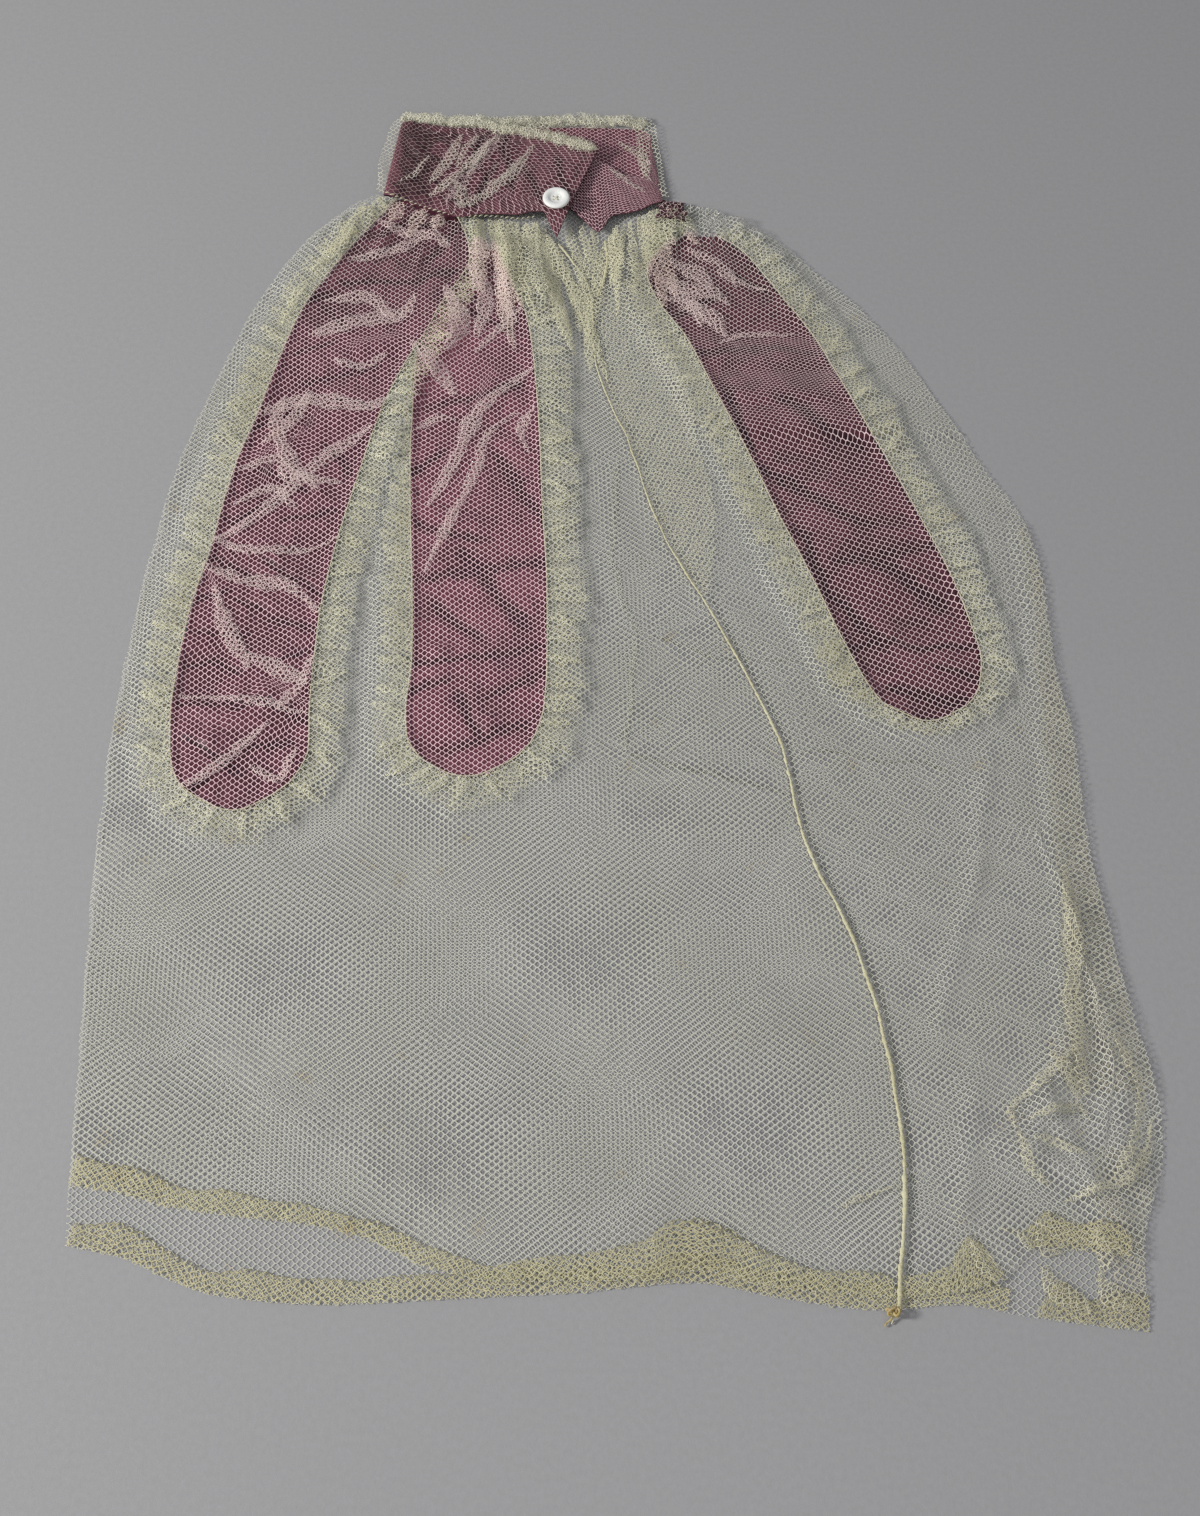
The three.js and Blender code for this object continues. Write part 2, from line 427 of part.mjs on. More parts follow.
// profile from the underside's middle round the rim to the dished middle of the top
const profile = [
  [0, 0], [R * 0.55, 0], [R * 0.86, BUTTON_T * 0.28], [R * 0.985, BUTTON_T * 0.5], [R, BUTTON_T * 0.62],
  [R * 0.97, BUTTON_T * 0.8], [R * 0.87, BUTTON_T * 0.96], [R * 0.72, BUTTON_T], [R * 0.55, BUTTON_T * 0.94],
  [R * 0.45, BUTTON_T * 0.78], [R * 0.3, BUTTON_T * 0.7], [0, BUTTON_T * 0.68],
].map(([x, y]) => new THREE.Vector2(x, y));
let button = toSolid(outward(mergeVertices((() => {
  const g = new THREE.LatheGeometry(profile, 36); g.deleteAttribute("normal"); g.deleteAttribute("uv"); g.rotateX(Math.PI / 2); return g;
})(), 1e-4)));
for (const [hx, hy] of [[1, 1], [1, -1], [-1, 1], [-1, -1]]) {
  const hole = new THREE.CylinderGeometry(0.62, 0.62, BUTTON_T * 3, 10);
  hole.rotateX(Math.PI / 2);
  hole.translate(hx * 1.15, hy * 1.15, 0);
  button = button.subtract(toSolid(hole));
}
const out = button.getMesh();
const buttonGeometry = new THREE.BufferGeometry();
buttonGeometry.setAttribute("position", new THREE.Float32BufferAttribute(out.vertProperties, 3));
buttonGeometry.setIndex([...out.triVerts]);
buttonGeometry.translate(BUTTON_AT.x, BUTTON_AT.y, 5.4 + COLLAR_WALL / 2 + GAP);
add("collar_button", buttonGeometry, WHITE, 0.2);

// the origin is the middle of the garment's box, on the surface
const ORIGIN = { x: 0.44, y: -1.5 };
parts.position.set(-ORIGIN.x, -ORIGIN.y, 0);

export default parts;
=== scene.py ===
import math

import bpy
import numpy as np
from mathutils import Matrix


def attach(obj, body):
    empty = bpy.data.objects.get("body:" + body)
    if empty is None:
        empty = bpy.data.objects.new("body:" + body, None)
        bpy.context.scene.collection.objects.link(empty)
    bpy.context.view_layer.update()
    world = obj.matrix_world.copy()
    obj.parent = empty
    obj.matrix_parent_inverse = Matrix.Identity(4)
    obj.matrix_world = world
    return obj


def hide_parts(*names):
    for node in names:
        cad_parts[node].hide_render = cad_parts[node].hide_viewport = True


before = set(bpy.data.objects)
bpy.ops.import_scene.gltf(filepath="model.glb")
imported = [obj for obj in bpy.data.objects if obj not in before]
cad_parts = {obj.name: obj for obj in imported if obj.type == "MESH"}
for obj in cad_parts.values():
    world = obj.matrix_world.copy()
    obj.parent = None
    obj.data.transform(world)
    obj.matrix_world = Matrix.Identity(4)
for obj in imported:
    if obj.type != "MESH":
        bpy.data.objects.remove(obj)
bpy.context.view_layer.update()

# ======================================================================== sizes (mm, table frame)
OX, OY = 0.44, -1.5  # the row frame's origin in the tables' frame
NET_A, NET_B, THREAD = 3.55, 2.75, 0.285  # net cell across and along, and its thread
BACK_Z = 0.45  # back panel's middle surface
TAB_Z = 1.5  # silk tabs' middle surface
FRILL_Z = 1.15  # frills where they are sewn on
FRILL_WIDTH = 14.5
FOLD_OVER = 2.6  # cloth taken up by a pleat for each millimetre that it overlaps

SIDES = [  # y, left, right
    (249, -113, 25), (246, -119, 33), (243, -126, 46), (236, -134, 62), (226, -143, 76), (214, -151, 89),
    (200, -159, 101), (180, -168, 119), (160, -175, 133), (120, -187, 154), (80, -197, 173), (52, -201, 187),
    (20, -205, 191), (-20, -208, 192), (-60, -210, 196), (-100, -210, 196), (-140, -209, 200), (-180, -207, 205),
    (-220, -205, 211), (-245, -204, 208), (-274, -202, 198), (-306, -200, 196)]
OPENING = [  # y, left, right
    (219, -24.5, -1), (208, -17, 0), (197, -11, -1.5), (188, -8.5, -4.2), (180, -7.2, -6.6), (160, -7, -7),
    (140, -4.5, -4.5), (120, 1.5, 1.5), (100, 9, 9), (60, 20, 20), (40, 27.5, 27.5), (0, 47.5, 47.5), (-40, 65, 65),
    (-62, 73, 73), (-100, 79, 79), (-120, 85, 85), (-140, 94, 94), (-180, 105, 105), (-205, 109, 109),
    (-240, 111.5, 111.5), (-300, 105, 105)]
NECK_BACK = [(-113, 249), (-60, 250), (-20, 249), (33, 246)]
NECK_LEFT = [(-113, 248.4), (-92, 240.2), (-72, 232.2), (-53, 233.4), (-42, 231.4), (-33.4, 231.8), (-26, 217)]
NECK_RIGHT = [(-1, 221.5), (4, 231.4), (13, 234.4), (22, 239.6), (30, 243)]
HEM_BACK = [(-202, -274), (-180, -279), (-162, -287), (-143, -293), (-103, -296), (-62, -294), (-18, -292), (31, -288),
            (59, -293), (100, -298), (128, -296), (150, -300), (196, -306)]
HEM_LEFT = [(-204, -251), (-187, -254), (-168, -259), (-142, -263), (-115, -266), (-93, -271), (-66, -283), (-40, -288),
            (17, -287), (31, -284), (59, -290), (106, -294)]
HEM_RIGHT = [(104, -294), (128, -292), (145, -287), (158, -275), (175, -276), (198, -280)]
TAB_LEFT = [(248, -103, -82), (235, -111.5, -73), (220, -122, -68), (208, -129, -66.5), (198, -135, -70), (180, -144, -79.5), (165, -149, -85),
            (150, -153, -92), (120, -160, -103.5),
            (80, -170, -113), (40, -176, -121), (0, -183, -126), (-40, -185.5, -127), (-62, -184, -126),
            (-75, -181, -130), (-84, -174, -138), (-89, -165, -146)]
TAB_MIDDLE = [(216, -70, -54), (205, -77, -51), (190, -83, -45), (175, -87, -39), (158, -89, -36), (130, -90, -33.3), (100, -90, -31.3),
              (60, -88.5, -29.5), (20, -86, -27), (-20, -84.5, -26.5), (-42, -86, -27.5), (-56, -85, -31),
              (-67, -79, -39), (-73, -70, -49)]
TAB_RIGHT = [(224, 38, 53), (214, 26, 65), (200, 19, 74), (185, 23, 83), (160, 37, 97), (130, 49, 110), (100, 61, 122),
             (60, 75.5, 138), (20, 91, 152), (0, 98, 157), (-18, 105, 160), (-32, 111, 158), (-41, 117, 153),
             (-46, 126, 145)]
REACH_LEFT = [(248, 0.3, 0.1), (235, 0.8, 0.2), (215, 1, 0.5), (200, 1, 0.75), (160, 1, 0.85), (120, 1, 0.85), (80, 1, 0.9), (40, 1, 1), (-90, 1, 1)]
REACH_MIDDLE = [(216, 0.1, 0.75), (180, 0.1, 1.0), (160, 0.2, 1.1), (120, 0.3, 1.1), (80, 0.6, 1.1), (40, 0.9, 1.1),
                (-90, 1, 1.1)]
REACH_RIGHT = [(224, 0.5, 0.85), (200, 0.8, 0.95), (120, 1, 1), (-20, 1, 0.95), (-40, 0.6, 0.6), (-50, 0.5, 0.5)]
FOLD_IN = [(52, 181.5), (11, 184), (-40, 183), (-88, 182), (-133, 182), (-177, 179), (-212, 176)]
GRAIN_RIGHT = [(222, -1), (180, -6.6), (160, -7), (140, -4.5), (120, 1.5), (100, 9), (70, 19), (10, 37.4), (-50, 51.2),
               (-110, 61.8), (-200, 73.5), (-310, 85)]

# pleats laid flat in the fronts: x0, y0, x1, y1, cloth folded over, half width
PLEATS_LEFT = [
    (-178, 32, -162, -10, 3, 4.5), (-145, -28, -128, -42, 3, 4.5), (-123, 154, -98, 163, 3, 4.5), (-163, 90, -141, 104, 3, 4),
    (-156, 76, -129, 124, 3, 4), (-52, 140, -74, 82, 3, 4.5), (-63, 74, -83, 20, 2, 3)]
PLEATS_RIGHT = [
    (39, 179, 64, 152, 3, 4.5), (176, -100, 183, -128, 4, 4), (183, -128, 189, -160, 4, 4), (189, -160, 191, -195, 4, 4),
    (160, -225, 190, -262, 3, 4), (196, -196, 188, -240, 3, 3.5), (168, 60, 176, -60, 2, 3)]
# soft raised folds: x0, y0, x1, y1, height, width
RIDGES_RIGHT = [
    (159, -68, 148, -121, 1.2, 5), (148, -121, 129, -185, 1.3, 5), (176, -106, 189, -142, 2.0, 4), (189, -142, 189, -175, 1.8, 4),
    (189, -175, 192, -200, 1.6, 4), (176, -195, 160, -232, 2.4, 7), (200, -180, 188, -226, 2.4, 6), (205, -200, 196, -250, 2.0, 6),
    (150, -236, 188, -254, 2.4, 6), (166, -214, 182, -246, 2.0, 5), (140, -215, 132, -262, 1.4, 6), (180, -256, 196, -268, 2.0, 5)]
RIDGES_LEFT = [
    (-196, -238, -176, -243, 1.2, 5), (-176, -243, -142, -255, 0.8, 5), (-98, 241, -112, 214, 1.4, 3), (-64, 232, -62, 196, 1.6, 3),
    (-50, 232, -47, 190, 1.8, 3.5), (-80, 236, -92, 205, 1.4, 3), (-38, 228, -30, 182, 1.5, 3.5), (-57, 231, -56, 205, 1.2, 2.5),
    (-150, -200, -60, -262, 0.7, 9), (60, -180, 20, -255, 0.6, 9), (40, -40, 20, -170, 0.5, 10), (-10, 20, -4, -150, 0.4, 9)]
FOLDS_BACK = [  # creases and turned edges of the back that show through: x0, y0, x1, y1, cloth folded over, half width
    (4, 92, 2, 32, 4, 2.2), (2, 34, 11, -5, 4, 2.2), (11, -3, 7, -65, 4, 2.4), (20, -5, 48, -16, 3, 2), (46, -16, 88, -19, 3, 2),
    (7, -65, 40, -72, 4, 2.2), (38, -72, 78, -86, 4, 2.2), (76, -61, 149, -72, 3, 2)]
# creases of the silk: x0, y0, x1, y1, depth, width
CREASES_LEFT = [
    (-150, 33, -128, 16, 1.5, 2.0), (-178, -21, -170, -19, .8, 1.8), (-170, -19, -158, -24, .9, 1.8), (-181, -40, -158, -40, 1.2, 2.0),
    (-158, -42, -146, -38, .8, 1.8), (-146, -38, -128, -48, 1.1, 2), (-140, -18, -131, -14, 1.0, 2), (-144, 2, -131, -1, .7, 2),
    (-161, 12, -154, 10, .9, 2), (-73, 230, -84, 212, 1.8, 2.6), (-126, 195, -93, 195, .9, 2), (-93, 195, -74, 202, .9, 2),
    (-125, 123, -112, 120, 1.1, 2), (-112, 120, -104, 122, .9, 2), (-108, 227, -92, 237, 1.3, 2.6), (-89, 231, -82, 233, 1, 2.5),
    (-145, 152, -131, 158, .6, 2.5), (-153, 82, -139, 74, .9, 2.5), (-165, 55, -148, 66, .8, 2.5), (-142, 55, -125, 60, .7, 2.5),
    (-147, 183, -135, 188, 1.1, 2.5), (-132, 177, -124, 167, 1, 2.2), (-172, 33, -158, 25, .7, 2.5), (-178, 12, -168, 17, .6, 2.5),
    (-176, -59, -158, -71, .7, 3), (-151, -61, -136, -60, .6, 2.5), (-173, -82, -168, -78, 1.2, 2), (-120, 210, -104, 218, .9, 2.4),
    (-138, 134, -118, 140, .7, 2.4), (-160, 108, -146, 116, .7, 2.4), (-128, 96, -118, 84, .7, 2.4), (-176, -4, -160, -6, .5, 2.4)]
CREASES_MIDDLE = [
    (-86, -21, -72, -18, 1.7, 2.2), (-72, -18, -51, -16, 1.2, 2.0), (-51, -16, -27, -11, .8, 2.0), (-62, -39, -55, -54, 1.3, 3.4),
    (-78, 25, -30, 33, .5, 5), (-88, 82, -77, 91, .7, 3), (-49, 88, -28, 55, .6, 5), (-61, 33, -38, 1, .6, 5), (-85, -34, -72, -29, .7, 3),
    (-46, -34, -27, -24, .6, 4), (-62, -61, -37, -51, .6, 4), (-80, 120, -44, 132, .5, 4), (-66, 176, -50, 168, .6, 3),
    (-84, 52, -60, 46, .5, 4), (-72, 6, -58, -6, .6, 4)]
CREASES_RIGHT = [
    (102, -13, 122, -9, 1.4, 2.2), (122, -9, 132, -13, .9, 2.0), (132, -13, 156, -11, .8, 2.2), (144, -23, 160, -29, 1.1, 2.4),
    (43, 152, 81, 155, .7, 3), (81, 155, 97, 152, .6, 3), (84, 123, 111, 99, .6, 5), (73, 82, 112, 55, .6, 5), (120, 33, 143, 12, .6, 5),
    (101, 12, 117, -9, .6, 5), (124, -34, 149, -39, .7, 4), (107, 33, 143, 41, .5, 5), (56, 128, 64, 100, .8, 4), (88, 46, 96, 16, .6, 4),
    (36, 176, 52, 186, .7, 3), (60, 200, 74, 190, .6, 3)]


# ======================================================================== helpers
class Line:
    """A smooth reading of a short table: a monotone cubic through its rows."""

    def __init__(self, rows, col=1):
        rows = sorted(rows)
        x, y = np.array([r[0] for r in rows], float), np.array([r[col] for r in rows], float)
        h = np.diff(x)
        d = np.diff(y) / h
        m = np.zeros(len(x))
        m[0], m[-1] = d[0], d[-1]
        for i in range(1, len(x) - 1):
            if d[i - 1] * d[i] > 0:
                w1, w2 = 2 * h[i] + h[i - 1], h[i] + 2 * h[i - 1]
                m[i] = (w1 + w2) / (w1 / d[i - 1] + w2 / d[i])
        self.x, self.y, self.m, self.h = x, y, m, h

    def __call__(self, q):
        q = np.clip(q, self.x[0], self.x[-1])
        i = np.clip(np.searchsorted(self.x, q, side="right") - 1, 0, len(self.x) - 2)
        h = self.h[i]
        t = (q - self.x[i]) / h
        t2, t3 = t * t, t * t * t
        return ((2 * t3 - 3 * t2 + 1) * self.y[i] + (t3 - 2 * t2 + t) * h * self.m[i]
                + (3 * t2 - 2 * t3) * self.y[i + 1] + (t3 - t2) * h * self.m[i + 1])


def smooth(t):
    t = np.clip(t, 0, 1)
    return t * t * (3 - 2 * t)


def smooth_min(a, b, k):
    h = np.clip(0.5 + 0.5 * (b - a) / k, 0, 1)
    return b * (1 - h) + a * h - k * h * (1 - h)


def waves(x, y, seed, low, high, count=14, ridged=False):
    """Gentle unevenness: a seeded sum of waves with lengths from low to high, about -1 to 1."""
    rng = np.random.default_rng(seed)
    out = np.zeros(np.broadcast(x, y).shape)
    for _ in range(count):
        k = 2 * math.pi / rng.uniform(low, high)
        a, p = rng.uniform(0, 2 * math.pi), rng.uniform(0, 2 * math.pi)
        w = np.sin(k * (math.cos(a) * x + math.sin(a) * y) + p)
        out += (1 - 2 * np.abs(w)) if ridged else w
    return out / math.sqrt(count) * 0.9


def to_line(x, y, x0, y0, x1, y1):
    """Distance across the line from (x0, y0) to (x1, y1), signed, the share along it, and its length."""
    dx, dy = x1 - x0, y1 - y0
    n = math.hypot(dx, dy)
    along = ((x - x0) * dx + (y - y0) * dy) / (n * n)
    across = ((x - x0) * -dy + (y - y0) * dx) / n
    return across, along, n


def ridge_height(x, y, rows):
    z = np.zeros(np.broadcast(x, y).shape)
    for x0, y0, x1, y1, height, width in rows:
        q, s, n = to_line(x, y, x0, y0, x1, y1)
        over = np.maximum(np.maximum(-s, s - 1), 0) * n
        r = np.hypot(q, over * 0.7) / width
        z += height * np.exp(-r * r * 1.6)
    return z


def crease_height(x, y, rows):
    """Sharp troughs with a raised lip on the side away from the light, and how deep in a fold each point is, for
    painting shade into the creases.
    """
    z, fold = np.zeros(x.shape), np.zeros(x.shape)
    for x0, y0, x1, y1, depth, width in rows:
        q, s, n = to_line(x, y, x0, y0, x1, y1)
        q = q + waves(x, y, int(abs(x0 * 7 + y0)) + 3, 14, 34, 6) * 0.8
        over = np.maximum(np.maximum(-s, s - 1), 0) * n
        end = np.exp(-(over / (width * 1.7)) ** 2)
        lift = 1 if y1 + y0 + 2 * (q.mean()) > -1e9 else -1
        t = np.exp(-(q / (width * 0.62)) ** 2) * end
        z += -depth * t + 0.55 * depth * np.exp(-((q - lift * width * 1.5) / (width * 0.95)) ** 2) * end
        z += 0.3 * depth * np.exp(-((q + lift * width * 1.7) / (width * 1.2)) ** 2) * end
        fold = np.maximum(fold, np.clip(t * 1.7 * min(1.0, depth / 0.9), 0, 1))
    return z, fold


def fold_over(x, y, rows, edge=1.0):
    """Flat pleats: each row's line folds cloth over itself, like a letter S seen end on. Gives the moved plan and the rise."""
    mx, my, z = np.zeros(x.shape), np.zeros(x.shape), np.zeros(x.shape)
    for i, (x0, y0, x1, y1, cloth, half) in enumerate(rows):
        q, s, n = to_line(x, y, x0, y0, x1, y1)
        q = q + waves(x, y, 100 + i, 18, 46, 6) * 1.1
        taper = smooth((s + 0.12) / 0.3) * smooth((1.12 - s) / 0.3) * edge
        wide = 42.0
        half = half * 1.2
        g = np.tanh(q / half * 1.25) * 0.5 - np.tanh(q / wide * 1.1) * 0.5
        nx, ny = -(y1 - y0) / n, (x1 - x0) / n
        mx -= nx * cloth * FOLD_OVER * taper * g
        my -= ny * cloth * FOLD_OVER * taper * g
        z += taper * min(1.0, cloth / 6) * 1.25 * smooth((q + half * 1.1) / (2.0 * half)) * (1 - smooth((q - half * 1.2) / (half * 3.0)))
    return mx, my, z


class Ground:
    """The height of what lies below, on a one-millimetre grid."""

    X0, Y0, NX, NY = -235, -330, 470, 660

    def __init__(self):
        self.h = np.zeros((self.NY, self.NX))

    def add(self, P, more=0.0):
        P = np.asarray(P, float)
        step = max(np.abs(np.diff(P[..., :2], axis=0)).max(initial=0), np.abs(np.diff(P[..., :2], axis=1)).max(initial=0))
        k = int(min(6, max(1, math.ceil(step / 0.9))))
        if k > 1:
            for axis in (0, 1):
                a = np.swapaxes(P, 0, axis)
                t = np.arange(k) / k
                b = a[:-1, None] + (a[1:, None] - a[:-1, None]) * t[None, :, None, None]
                a = np.concatenate([b.reshape(-1, *a.shape[1:]), a[-1:]])
                P = np.swapaxes(a, 0, axis)
        p = P.reshape(-1, 3)
        i = np.clip(np.round(p[:, 1] - self.Y0).astype(int), 0, self.NY - 1)
        j = np.clip(np.round(p[:, 0] - self.X0).astype(int), 0, self.NX - 1)
        np.maximum.at(self.h, (i, j), p[:, 2] + more)

    def soften(self, reach=2, blur=3):
        h = self.h
        for _ in range(reach):
            p = np.pad(h, 1, mode="edge")
            h = np.max([p[a:a + self.NY, b:b + self.NX] for a in range(3) for b in range(3)], axis=0)
        for _ in range(blur):
            p = np.pad(h, 1, mode="edge")
            h = sum(p[a:a + self.NY, b:b + self.NX] * w for a, b, w in
                    [(0, 0, 1), (0, 1, 2), (0, 2, 1), (1, 0, 2), (1, 1, 4), (1, 2, 2), (2, 0, 1), (2, 1, 2), (2, 2, 1)]) / 16
        return h

    def reader(self, reach=2, blur=3):
        h = self.soften(reach, blur)

        def at(x, y):
            fx, fy = np.clip(x - self.X0, 0, self.NX - 1.001), np.clip(y - self.Y0, 0, self.NY - 1.001)
            j, i = fx.astype(int), fy.astype(int)
            a, b = fx - j, fy - i
            return ((h[i, j] * (1 - a) + h[i, j + 1] * a) * (1 - b) + (h[i + 1, j] * (1 - a) + h[i + 1, j + 1] * a) * b)

        return at


ground = Ground()


def make_mesh(name, verts, faces, mats=(), smooth_shade=True):
    mesh = bpy.data.meshes.new(name)
    mesh.from_pydata([], [], [])
    verts = np.asarray(verts, np.float32).reshape(-1, 3)
    faces = np.asarray(faces, np.int32)
    n, k = faces.shape
    mesh.vertices.add(len(verts))
    mesh.vertices.foreach_set("co", verts.ravel())
    mesh.loops.add(n * k)
    mesh.loops.foreach_set("vertex_index", faces.ravel())
    mesh.polygons.add(n)
    mesh.polygons.foreach_set("loop_start", np.arange(0, n * k, k, dtype=np.int32))
    mesh.update(calc_edges=True)
    if smooth_shade:
        mesh.polygons.foreach_set("use_smooth", np.ones(n, bool))
    for m in mats:
        mesh.materials.append(m)
    o = bpy.data.objects.new(name, mesh)
    bpy.context.scene.collection.objects.link(o)
    return o


def to_metres(P):
    P = np.array(P, float)
    P[..., 0] -= OX
    P[..., 1] -= OY
    return P * 0.001


def grid_faces(r, c, wrap=False):
    i, j = np.meshgrid(np.arange(r - 1), np.arange(c if wrap else c - 1), indexing="ij")
    a = i * c + j
    b = i * c + (j + 1) % c
    return np.stack([a, b, b + c, a + c], -1).reshape(-1, 4)


def sheet_mesh(name, P, UV, mat, attrs=None, flip=True, wrap=False):
    """A cloth from a grid of points (mm), with its cloth coordinates (mm) as UV."""
    r, c = P.shape[:2]
    f = grid_faces(r, c, wrap)
    if flip:
        f = f[:, ::-1]
    o = make_mesh(name, to_metres(P), f, [mat])
    if UV is not None:
        uv = o.data.uv_layers.new(name="cloth")
        idx = f.ravel()
        flat = UV.reshape(-1, 2)[idx]
        if wrap:  # the closing column goes on from the last one, not back to the first
            quad = f.reshape(-1, 4)
            col = quad % c
            jump = (col.max(1) == c - 1) & (col.min(1) == 0)
            per = float(UV[0, -1, 0] - UV[0, 0, 0]) * c / (c - 1)
            fix = np.zeros(quad.shape)
            fix[jump] = (col[jump] == 0) * per
            flat = flat.copy()
            flat[:, 0] += fix.ravel()
        uv.data.foreach_set("uv", flat.astype(np.float32).ravel())
    for key, val in (attrs or {}).items():
        a = o.data.attributes.new(key, "FLOAT", "POINT")
        a.data.foreach_set("value", np.asarray(val, np.float32).ravel())
    return o


def tube_mesh(name, path, radius, mat, sides=8, squash=1.0, bumps=None, caps=True, attrs=None):
    """A round cord along a path (mm); radius is a number or one per point; bumps(k, w) scales it round the section."""
    path = np.asarray(path, float)
    n = len(path)
    t = np.gradient(path, axis=0)
    t /= np.linalg.norm(t, axis=1)[:, None]
    up = np.array([0, 0, 1.0])
    s = np.cross(up, t)
    s /= np.maximum(np.linalg.norm(s, axis=1), 1e-9)[:, None]
    u = np.cross(t, s)
    r = np.broadcast_to(np.asarray(radius, float), (n,))
    w = 2 * math.pi * np.arange(sides) / sides
    scale = np.ones((n, sides)) if bumps is None else bumps(np.arange(n)[:, None], w[None, :])
    V = (path[:, None] + (r[:, None] * scale * np.cos(w))[..., None] * s[:, None]
         + (r[:, None] * scale * np.sin(w) * squash)[..., None] * u[:, None])
    seg = np.concatenate([[0], np.cumsum(np.linalg.norm(np.diff(path, axis=0), axis=1))])
    UV = np.stack(np.broadcast_arrays(w[None, :] * r.mean(), seg[:, None]), -1)
    verts = V.reshape(-1, 3)
    f = grid_faces(n, sides, True)
    if caps:
        verts = np.concatenate([verts, path[:1], path[-1:]])
        a, b = n * sides, n * sides + 1
        k = np.arange(sides)
        cap0 = np.stack([np.full(sides, a), (k + 1) % sides, k, k], -1)
        base = (n - 1) * sides
        cap1 = np.stack([np.full(sides, b), base + k, base + (k + 1) % sides, base + (k + 1) % sides], -1)
        mesh = bpy.data.meshes.new(name)
        polys = f.tolist() + [q[:3] for q in cap0.tolist()] + [q[:3] for q in cap1.tolist()]
        mesh.from_pydata(to_metres(verts).tolist(), [], polys)
        mesh.polygons.foreach_set("use_smooth", np.ones(len(mesh.polygons), bool))
        mesh.materials.append(mat)
        o = bpy.data.objects.new(name, mesh)
        bpy.context.scene.collection.objects.link(o)
    else:
        o = make_mesh(name, to_metres(verts), f, [mat])
    return o


def join(objs, name):
    """Several meshes as one piece."""
    bpy.ops.object.select_all(action="DESELECT")
    for o in objs:
        o.select_set(True)
    bpy.context.view_layer.objects.active = objs[0]
    if len(objs) > 1:
        bpy.ops.object.join()
    objs[0].name = name
    objs[0].data.name = name
    return objs[0]


# ======================================================================== materials
class Nodes:
    """A small way of writing a node tree."""

    def __init__(self, name):
        self.mat = bpy.data.materials.new(name)
        self.mat.use_nodes = True
        self.t = self.mat.node_tree
        self.t.nodes.clear()
        self.out = self.t.nodes.new("ShaderNodeOutputMaterial")
        self.bsdf = self.t.nodes.new("ShaderNodeBsdfPrincipled")
        self.t.links.new(self.bsdf.outputs[0], self.out.inputs[0])

    def put(self, socket, value):
        if isinstance(value, bpy.types.NodeSocket):
            self.t.links.new(value, socket)
        elif value is not None:
            socket.default_value = value

    def math(self, op, a, b=None, c=None, clamp=False):
        n = self.t.nodes.new("ShaderNodeMath")
        n.operation, n.use_clamp = op, clamp
        for s, v in zip(n.inputs, (a, b, c)):
            self.put(s, v)
        return n.outputs[0]

    def vec(self, op, a, b=None, scale=None):
        n = self.t.nodes.new("ShaderNodeVectorMath")
        n.operation = op
        self.put(n.inputs[0], a)
        if b is not None:
            self.put(n.inputs[1], b)
        if scale is not None:
            self.put(n.inputs["Scale"], scale)
        return n.outputs["Value"] if op in ("LENGTH", "DOT_PRODUCT") else n.outputs[0]

    def noise(self, vector, scale, detail=2.0, rough=0.5, colour=False, distortion=0.0):
        n = self.t.nodes.new("ShaderNodeTexNoise")
        self.put(n.inputs["Vector"], vector)
        n.inputs["Scale"].default_value = scale
        n.inputs["Detail"].default_value = detail
        n.inputs["Roughness"].default_value = rough
        n.inputs["Distortion"].default_value = distortion
        return n.outputs["Color"] if colour else n.outputs["Fac"]

    def remap(self, v, a, b, c, d, kind="LINEAR"):
        n = self.t.nodes.new("ShaderNodeMapRange")
        n.interpolation_type = kind
        for s, x in zip(n.inputs[:5], (v, a, b, c, d)):
            self.put(s, x)
        return n.outputs[0]

    def mix(self, f, a, b, kind="MIX"):
        n = self.t.nodes.new("ShaderNodeMix")
        n.data_type, n.blend_type = "RGBA", kind
        self.put(n.inputs[0], f)
        self.put(n.inputs[6], (*a, 1) if isinstance(a, tuple) and len(a) == 3 else a)
        self.put(n.inputs[7], (*b, 1) if isinstance(b, tuple) and len(b) == 3 else b)
        return n.outputs[2]

    def split(self, v):
        n = self.t.nodes.new("ShaderNodeSeparateXYZ")
        self.put(n.inputs[0], v)
        return n.outputs

    def uv(self):
        n = self.t.nodes.new("ShaderNodeUVMap")
        n.uv_map = "cloth"
        return n.outputs[0]

    def place(self):
        return self.t.nodes.new("ShaderNodeTexCoord").outputs["Object"]

    def attr(self, name):
        n = self.t.nodes.new("ShaderNodeAttribute")
        n.attribute_name = name
        return n.outputs["Fac"]

    def bump(self, height, strength, distance):
        n = self.t.nodes.new("ShaderNodeBump")
        n.inputs["Strength"].default_value = strength
        n.inputs["Distance"].default_value = distance
        self.put(n.inputs["Height"], height)
        return n.outputs[0]


